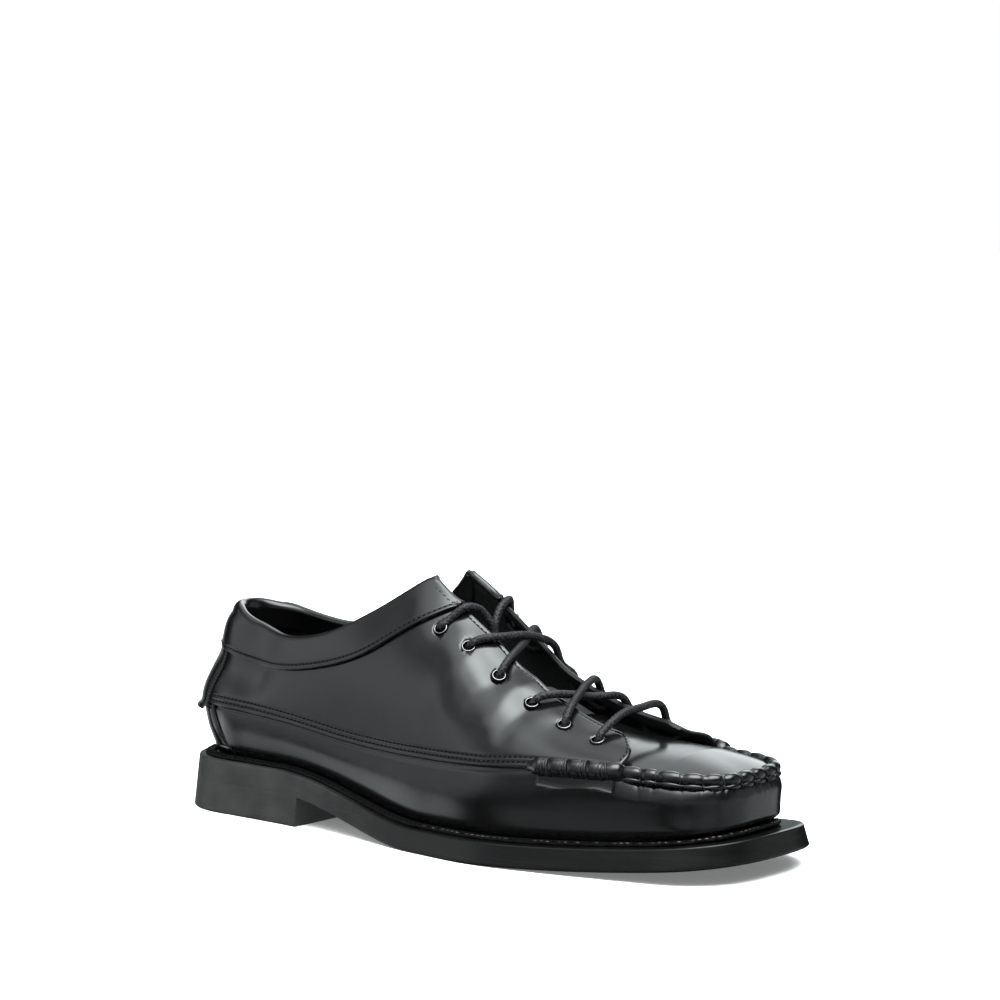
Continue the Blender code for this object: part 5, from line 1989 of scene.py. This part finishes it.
def finish(name):
    """Material by name, all of them made at the first call."""
    if name not in bpy.data.materials:
        tones = bpy.context.scene.shoe_colours
        groups = {"grain": grain_group(), "dust": dust_group(), "streak": streak_group()}
        leather, lining, sole, thread, tan, lace, metal = [
            tuple(tone) + (1.0,) for tone in (tones.leather, tones.lining, tones.sole, tones.thread,
                                              tones.welt_thread, tones.lace, tones.metal)]
        leather_material("polished_leather", leather, groups)
        matt_material("leather_lining", lining, groups)
        matt_material("cut_edge", shade(leather, 1.6), groups, 0.6)
        # Painted shade: darker, nearly specless leather for groove bottoms, the band's underside, the
        # side's trench and shaded stitches
        matt_material("painted_shade_groove", shade(leather, 0.6), groups, specular=0.05)
        sole_material("sole_rubber", sole, groups)
        welt_material("welt_leather", leather, tan, groups)
        thread_material("sewing_thread", thread, shade(thread, 1.8), groups, 0.4)
        thread_material("welt_thread", shade(tan, 0.25), tan, groups, 0.7)
        lace_material("waxed_lace", lace, groups)
        # Black enamel on the eyelets' outer slope, kept this dark also as painted shade in the dent
        # round them; the rim is bare metal
        metal_material("eyelet_enamel_and_shade", shade(metal, 0.06), 0.35)
        metal_material("eyelet_rim", metal, 0.22)
    return bpy.data.materials[name]


def finishes(*names):
    return [finish(name) for name in names]


# Studio
TARGET = (149.0, 0.0, 45.0)
SENSOR = 36.0
LENS = 170.06
LENS_DISTANCE = 2.0
SHIFT = (0.013, 0.2293)
FLOOR_SIZE = 6.0
FLOOR_GLOW = 0.2
# Round softbox: azimuth, elevation, distance and diameter in metres, radiance
SOFTBOX = (50.0, 66.0, 1.6, 1.42, 7.0)
# Soft patches of the room: azimuth, elevation, full inside and gone outside an angle, radiance
PATCHES = (
    (80, 72, 12, 34, 8.8),
    (40, 70, 24, 52, 1.1),
    (20, 62, 8, 26, 3),
    (150, 62, 6, 20, 2.3),
    (-30, 62, 8, 24, 1.1),
    (-45, 52, 8, 24, 0.25),
    (0, 32, 8, 24, 0.5),
    (-25, 38, 8, 24, 0.3),
    (-90, 72, 10, 30, 0.7),
    (-158, 19, 5, 21, 2.6),
    (-150, 38, 8, 24, 0.7),
    (-140, 54, 10, 28, 0.7),
    (-54, 6, 12, 26, 0.75),
    (-60, 24, 10, 28, 0.2),
    (-75, 28, 6, 22, 0.36),
    (-42, 24, 8, 24, 0.2),
    (-25, 8, 10, 28, 0.3),
    (16, 10, 14, 40, 0.43),
    (-68, -22, 5, 14, 1.4),
    (-77, -12, 5, 15, 1.2),
    (-20, -33, 5, 16, 0.4),
    (60, -20, 10, 30, 0.25),
    (110, -20, 10, 30, 0.5),
    (155, -20, 8, 26, 0.75),
    (135, 8, 8, 30, 0.36),
    (-125, -8, 8, 22, 0.7),
    (65, 0, 8, 30, 0.23),
)
ROOM_BASE = 0.03
ROOM_TINT = (0.93, 0.99, 1.0, 1.0)


def direction(azimuth, elevation):
    a, e = radians(azimuth), radians(elevation)
    return Vector((sin(a) * cos(e), -cos(a) * cos(e), sin(e)))


def aim(thing, where, towards):
    thing.location = where
    thing.rotation_euler = (towards - where).to_track_quat("-Z", "Y").to_euler()


def by_ray(tree, kind, other, chosen):
    """One shader for a kind of ray and another for every other ray."""
    path = tree.nodes.new("ShaderNodeLightPath")
    either = tree.nodes.new("ShaderNodeMixShader")
    for socket, value in zip(either.inputs, (path.outputs[kind], other.outputs[0], chosen.outputs[0])):
        tree.links.new(value, socket)
    return either.outputs[0]


def build_floor(colour):
    bm = new_bmesh()
    bmesh.ops.create_grid(bm, x_segments=8, y_segments=8, size=FLOOR_SIZE / 2, calc_uvs=True)
    mesh = to_mesh(bm, "studio_floor")
    floor = new_object("studio_floor", mesh)
    tree, shader = new_material("floor_paper")
    set_sockets(tree, shader, {
        "Base Color": toned(tree, noise(tree, object_place(tree), 3.0), colour, 0.985, 1.0),
        "Roughness": 0.95,
        "Specular IOR Level": 0.1,
        "Emission Color": colour,
        "Emission Strength": FLOOR_GLOW,
    })
    clear = tree.nodes.new("ShaderNodeBsdfTransparent")
    feed(tree, tree.nodes["Material Output"].inputs["Surface"],
         by_ray(tree, "Is Glossy Ray", shader, clear))
    mesh.materials.append(bpy.data.materials["floor_paper"])


def build_world(strength):
    """White to the camera, soft patches of light to everything else."""
    world = bpy.data.worlds.new("studio_room")
    world.use_nodes = True
    tree = world.node_tree
    tree.nodes.clear()
    where = tree.nodes.new("ShaderNodeTexCoord").outputs["Generated"]
    total = None
    for azimuth, elevation, inner, outer, radiance in PATCHES:
        facing = tree.nodes.new("ShaderNodeVectorMath")
        facing.operation = "DOT_PRODUCT"
        tree.links.new(where, facing.inputs[0])
        facing.inputs[1].default_value = direction(azimuth, elevation)
        patch = ramp(tree, facing.outputs["Value"], cos(radians(outer)), cos(radians(inner)), 0.0,
                     radiance)
        total = math_node(tree, "ADD", patch, ROOM_BASE if total is None else total)
    room, white = [tree.nodes.new("ShaderNodeBackground") for _ in range(2)]
    set_sockets(tree, room, {"Color": ROOM_TINT, "Strength": times(tree, total, strength)})
    white.inputs["Color"].default_value = (1.0, 1.0, 1.0, 1.0)
    made = tree.nodes.new("ShaderNodeOutputWorld")
    feed(tree, made.inputs["Surface"], by_ray(tree, "Is Camera Ray", room, white))
    bpy.context.scene.world = world


def build_softbox(middle, strength):
    azimuth, elevation, distance, across, radiance = SOFTBOX
    data = bpy.data.lights.new("round_softbox", "AREA")
    data.shape, data.size = "DISK", across
    data.energy = radiance * pi * pi * across * across / 4 * strength
    lamp = new_object("round_softbox", data)
    lamp.visible_glossy = False
    aim(lamp, middle + direction(azimuth, elevation) * distance, middle)


def build_camera(middle, azimuth, elevation, distance):
    data = bpy.data.cameras.new("photo_camera")
    data.sensor_width, data.lens = SENSOR, LENS * distance / LENS_DISTANCE
    data.shift_x, data.shift_y = SHIFT
    camera = new_object("photo_camera", data)
    aim(camera, middle + direction(azimuth, elevation) * distance, middle)
    bpy.context.scene.camera = camera


# Add-on
def length_property(name, description, value, low, high):
    """Length property given in millimetres."""
    return bpy.props.FloatProperty(name=name, description=description, default=value * MM, min=low * MM,
                                   max=high * MM, subtype="DISTANCE", unit="LENGTH", precision=4)


def colour_property(name, description, value):
    return bpy.props.FloatVectorProperty(name=name, description=description, default=value, size=3,
                                         min=0.0, max=1.0, subtype="COLOR")


def strength_property(name, description):
    return bpy.props.FloatProperty(name=name, description=description, default=1.0, min=0.0, max=5.0)


def angle_property(name, description, value):
    """Angle property given in degrees."""
    return bpy.props.FloatProperty(name=name, description=description, default=radians(value),
                                   subtype="ANGLE", unit="ROTATION")


class ShoeSizes(bpy.types.PropertyGroup):
    seam_radius: length_property(
        "Seam radius", "Radius of the gathered toe seam between its needle holes", 2.9, 2.0, 4.0)
    lace_radius: length_property("Lace radius", "Radius of the round lace", 1.65, 1.0, 2.0)
    stitch_pitch: length_property(
        "Stitch pitch", "Distance between needle holes of the upper's fine sewing", 2.4, 1.2, 5.0)
    thread: length_property("Thread", "Thickness of the upper's fine sewing thread", 0.75, 0.3, 1.2)
    welt_pitch: length_property(
        "Welt stitch pitch", "Distance between stitches that hold the welt to the sole", 2.8, 1.5, 6.0)
    welt_thread: length_property("Welt thread", "Thickness of the welt's thread", 0.55, 0.3, 1.5)


class ShoeColours(bpy.types.PropertyGroup):
    leather: colour_property("Leather", "Colour of the polished upper", (0.0022, 0.0022, 0.0024))
    lining: colour_property("Lining", "Colour of the lining and the insole", (0.0100, 0.0103, 0.0103))
    sole: colour_property("Sole", "Colour of the outsole and the heel", (0.0027, 0.0027, 0.0027))
    thread: colour_property("Thread", "Colour of the upper's sewing", (0.0025, 0.0025, 0.0027))
    welt_thread: colour_property("Welt thread", "Colour of the stitches along the welt",
                                 (0.11, 0.09, 0.07))
    lace: colour_property("Lace", "Colour of the waxed lace", (0.0030, 0.0030, 0.0034))
    metal: colour_property("Metal", "Colour of the eyelets' bare rims", (0.2, 0.2, 0.2))


class ShoeStage(bpy.types.PropertyGroup):
    floor: colour_property("Floor", "Colour of the studio floor", (0.9, 0.9, 0.9))
    room: strength_property("Room light", "Brightness of the room round the shoe")
    softbox: strength_property("Softbox", "Brightness of the softbox")
    azimuth: angle_property("Camera azimuth", "Turn of the camera round the shoe", 38.2)
    elevation: angle_property("Camera elevation", "Height angle of the camera", 9.9)
    distance: bpy.props.FloatProperty(
        name="Camera distance", description="Camera's distance from the shoe", default=2.0, min=0.5,
        subtype="DISTANCE", unit="LENGTH")


class SHOE_OT_sole(bpy.types.Operator):
    """Build the outsole, the heel, the welt and the insole"""
    bl_idname = "shoe.sole"
    bl_label = "Sole, welt and insole"
    bl_options = {"REGISTER", "UNDO"}

    def execute(self, context):
        build_outsole(finishes("sole_rubber"))
        build_heel(finishes("sole_rubber"))
        build_welt(finishes("welt_leather"))
        build_insole(finishes("leather_lining"))
        return {"FINISHED"}


class SHOE_OT_upper(bpy.types.Operator):
    """Build the side wall, the quarters, the toe plug and the tongue"""
    bl_idname = "shoe.upper"
    bl_label = "Upper and tongue"
    bl_options = {"REGISTER", "UNDO"}

    def execute(self, context):
        looks = finishes("polished_leather", "leather_lining", "cut_edge", "painted_shade_groove",
                         "leather_lining", "cut_edge")
        build_side(looks)
        build_quarters(looks)
        build_plug(looks)
        build_tongue(finishes("leather_lining", "leather_lining"))
        return {"FINISHED"}


class SHOE_OT_trims(bpy.types.Operator):
    """Build the gathered seam, the collar band, the backstay and the wrapped rolls"""
    bl_idname = "shoe.trims"
    bl_label = "Seam, collar, backstay and rolls"
    bl_options = {"REGISTER", "UNDO"}

    def execute(self, context):
        looks, thread = finishes("polished_leather", "leather_lining"), finishes("sewing_thread")
        build_seam(context.scene.shoe_sizes, looks, thread)
        build_collar_band(finishes("polished_leather", "painted_shade_groove"))
        build_backstay(looks)
        for side, name in SIDES:
            build_roll(side, name, looks, thread)
        return {"FINISHED"}


class SHOE_OT_stitches(bpy.types.Operator):
    """Build the rows of sewing on the upper and along the welt"""
    bl_idname = "shoe.stitches"
    bl_label = "Stitches"
    bl_options = {"REGISTER", "UNDO"}

    def execute(self, context):
        build_stitches(context.scene.shoe_sizes, finishes("sewing_thread", "painted_shade_groove"))
        build_welt_stitches(context.scene.shoe_sizes, finishes("welt_thread", "painted_shade_groove"))
        return {"FINISHED"}


class SHOE_OT_eyelets(bpy.types.Operator):
    """Build the twelve eyelets"""
    bl_idname = "shoe.eyelets"
    bl_label = "Eyelets"
    bl_options = {"REGISTER", "UNDO"}

    def execute(self, context):
        looks = finishes("eyelet_enamel_and_shade", "eyelet_rim")
        for number in range(len(EYELETS)):
            for side, name in SIDES:
                build_eyelet(number, side, name, looks)
        return {"FINISHED"}


class SHOE_OT_lace(bpy.types.Operator):
    """Run the lace through the eyelets and lay its two free ends"""
    bl_idname = "shoe.lace"
    bl_label = "Lace"
    bl_options = {"REGISTER", "UNDO"}

    def execute(self, context):
        looks = finishes("waxed_lace")
        build_lace(context.scene.shoe_sizes, looks)
        for side, name in SIDES:
            build_lace_end(side, name, context.scene.shoe_sizes, looks)
        return {"FINISHED"}


class SHOE_OT_stage(bpy.types.Operator):
    """Build the floor, the room, the softbox and the camera"""
    bl_idname = "shoe.stage"
    bl_label = "Studio"
    bl_options = {"REGISTER", "UNDO"}

    def execute(self, context):
        stage = context.scene.shoe_stage
        middle = Vector(place(TARGET))
        build_floor(tuple(stage.floor) + (1.0,))
        build_world(stage.room)
        build_softbox(middle, stage.softbox)
        build_camera(middle, degrees(stage.azimuth), degrees(stage.elevation), stage.distance)
        context.scene.view_settings.view_transform = "Standard"
        return {"FINISHED"}


OPERATORS = (SHOE_OT_sole, SHOE_OT_upper, SHOE_OT_trims, SHOE_OT_stitches, SHOE_OT_eyelets,
             SHOE_OT_lace, SHOE_OT_stage)


class SHOE_PT_panel(bpy.types.Panel):
    bl_label = "Square toe shoe"
    bl_idname = "SHOE_PT_panel"
    bl_space_type = "VIEW_3D"
    bl_region_type = "UI"
    bl_category = "Shoe"

    def draw(self, context):
        for group in (context.scene.shoe_sizes, context.scene.shoe_colours, context.scene.shoe_stage):
            box = self.layout.box()
            for name in group.bl_rna.properties.keys():
                if name not in ("rna_type", "name"):
                    box.prop(group, name)
        for operator in OPERATORS:
            self.layout.operator(operator.bl_idname)


GROUPS = (("shoe_sizes", ShoeSizes), ("shoe_colours", ShoeColours), ("shoe_stage", ShoeStage))


def register():
    for _, group in GROUPS:
        bpy.utils.register_class(group)
    for name, group in GROUPS:
        setattr(bpy.types.Scene, name, bpy.props.PointerProperty(type=group))
    for operator in OPERATORS:
        bpy.utils.register_class(operator)
    bpy.utils.register_class(SHOE_PT_panel)


def unregister():
    bpy.utils.unregister_class(SHOE_PT_panel)
    for operator in reversed(OPERATORS):
        bpy.utils.unregister_class(operator)
    for name, group in reversed(GROUPS):
        delattr(bpy.types.Scene, name)
        bpy.utils.unregister_class(group)


def main():
    register()
    for step in (bpy.ops.shoe.sole, bpy.ops.shoe.upper, bpy.ops.shoe.trims, bpy.ops.shoe.stitches,
                 bpy.ops.shoe.eyelets, bpy.ops.shoe.lace, bpy.ops.shoe.stage):
        step()


if __name__ == "__main__":
    main()
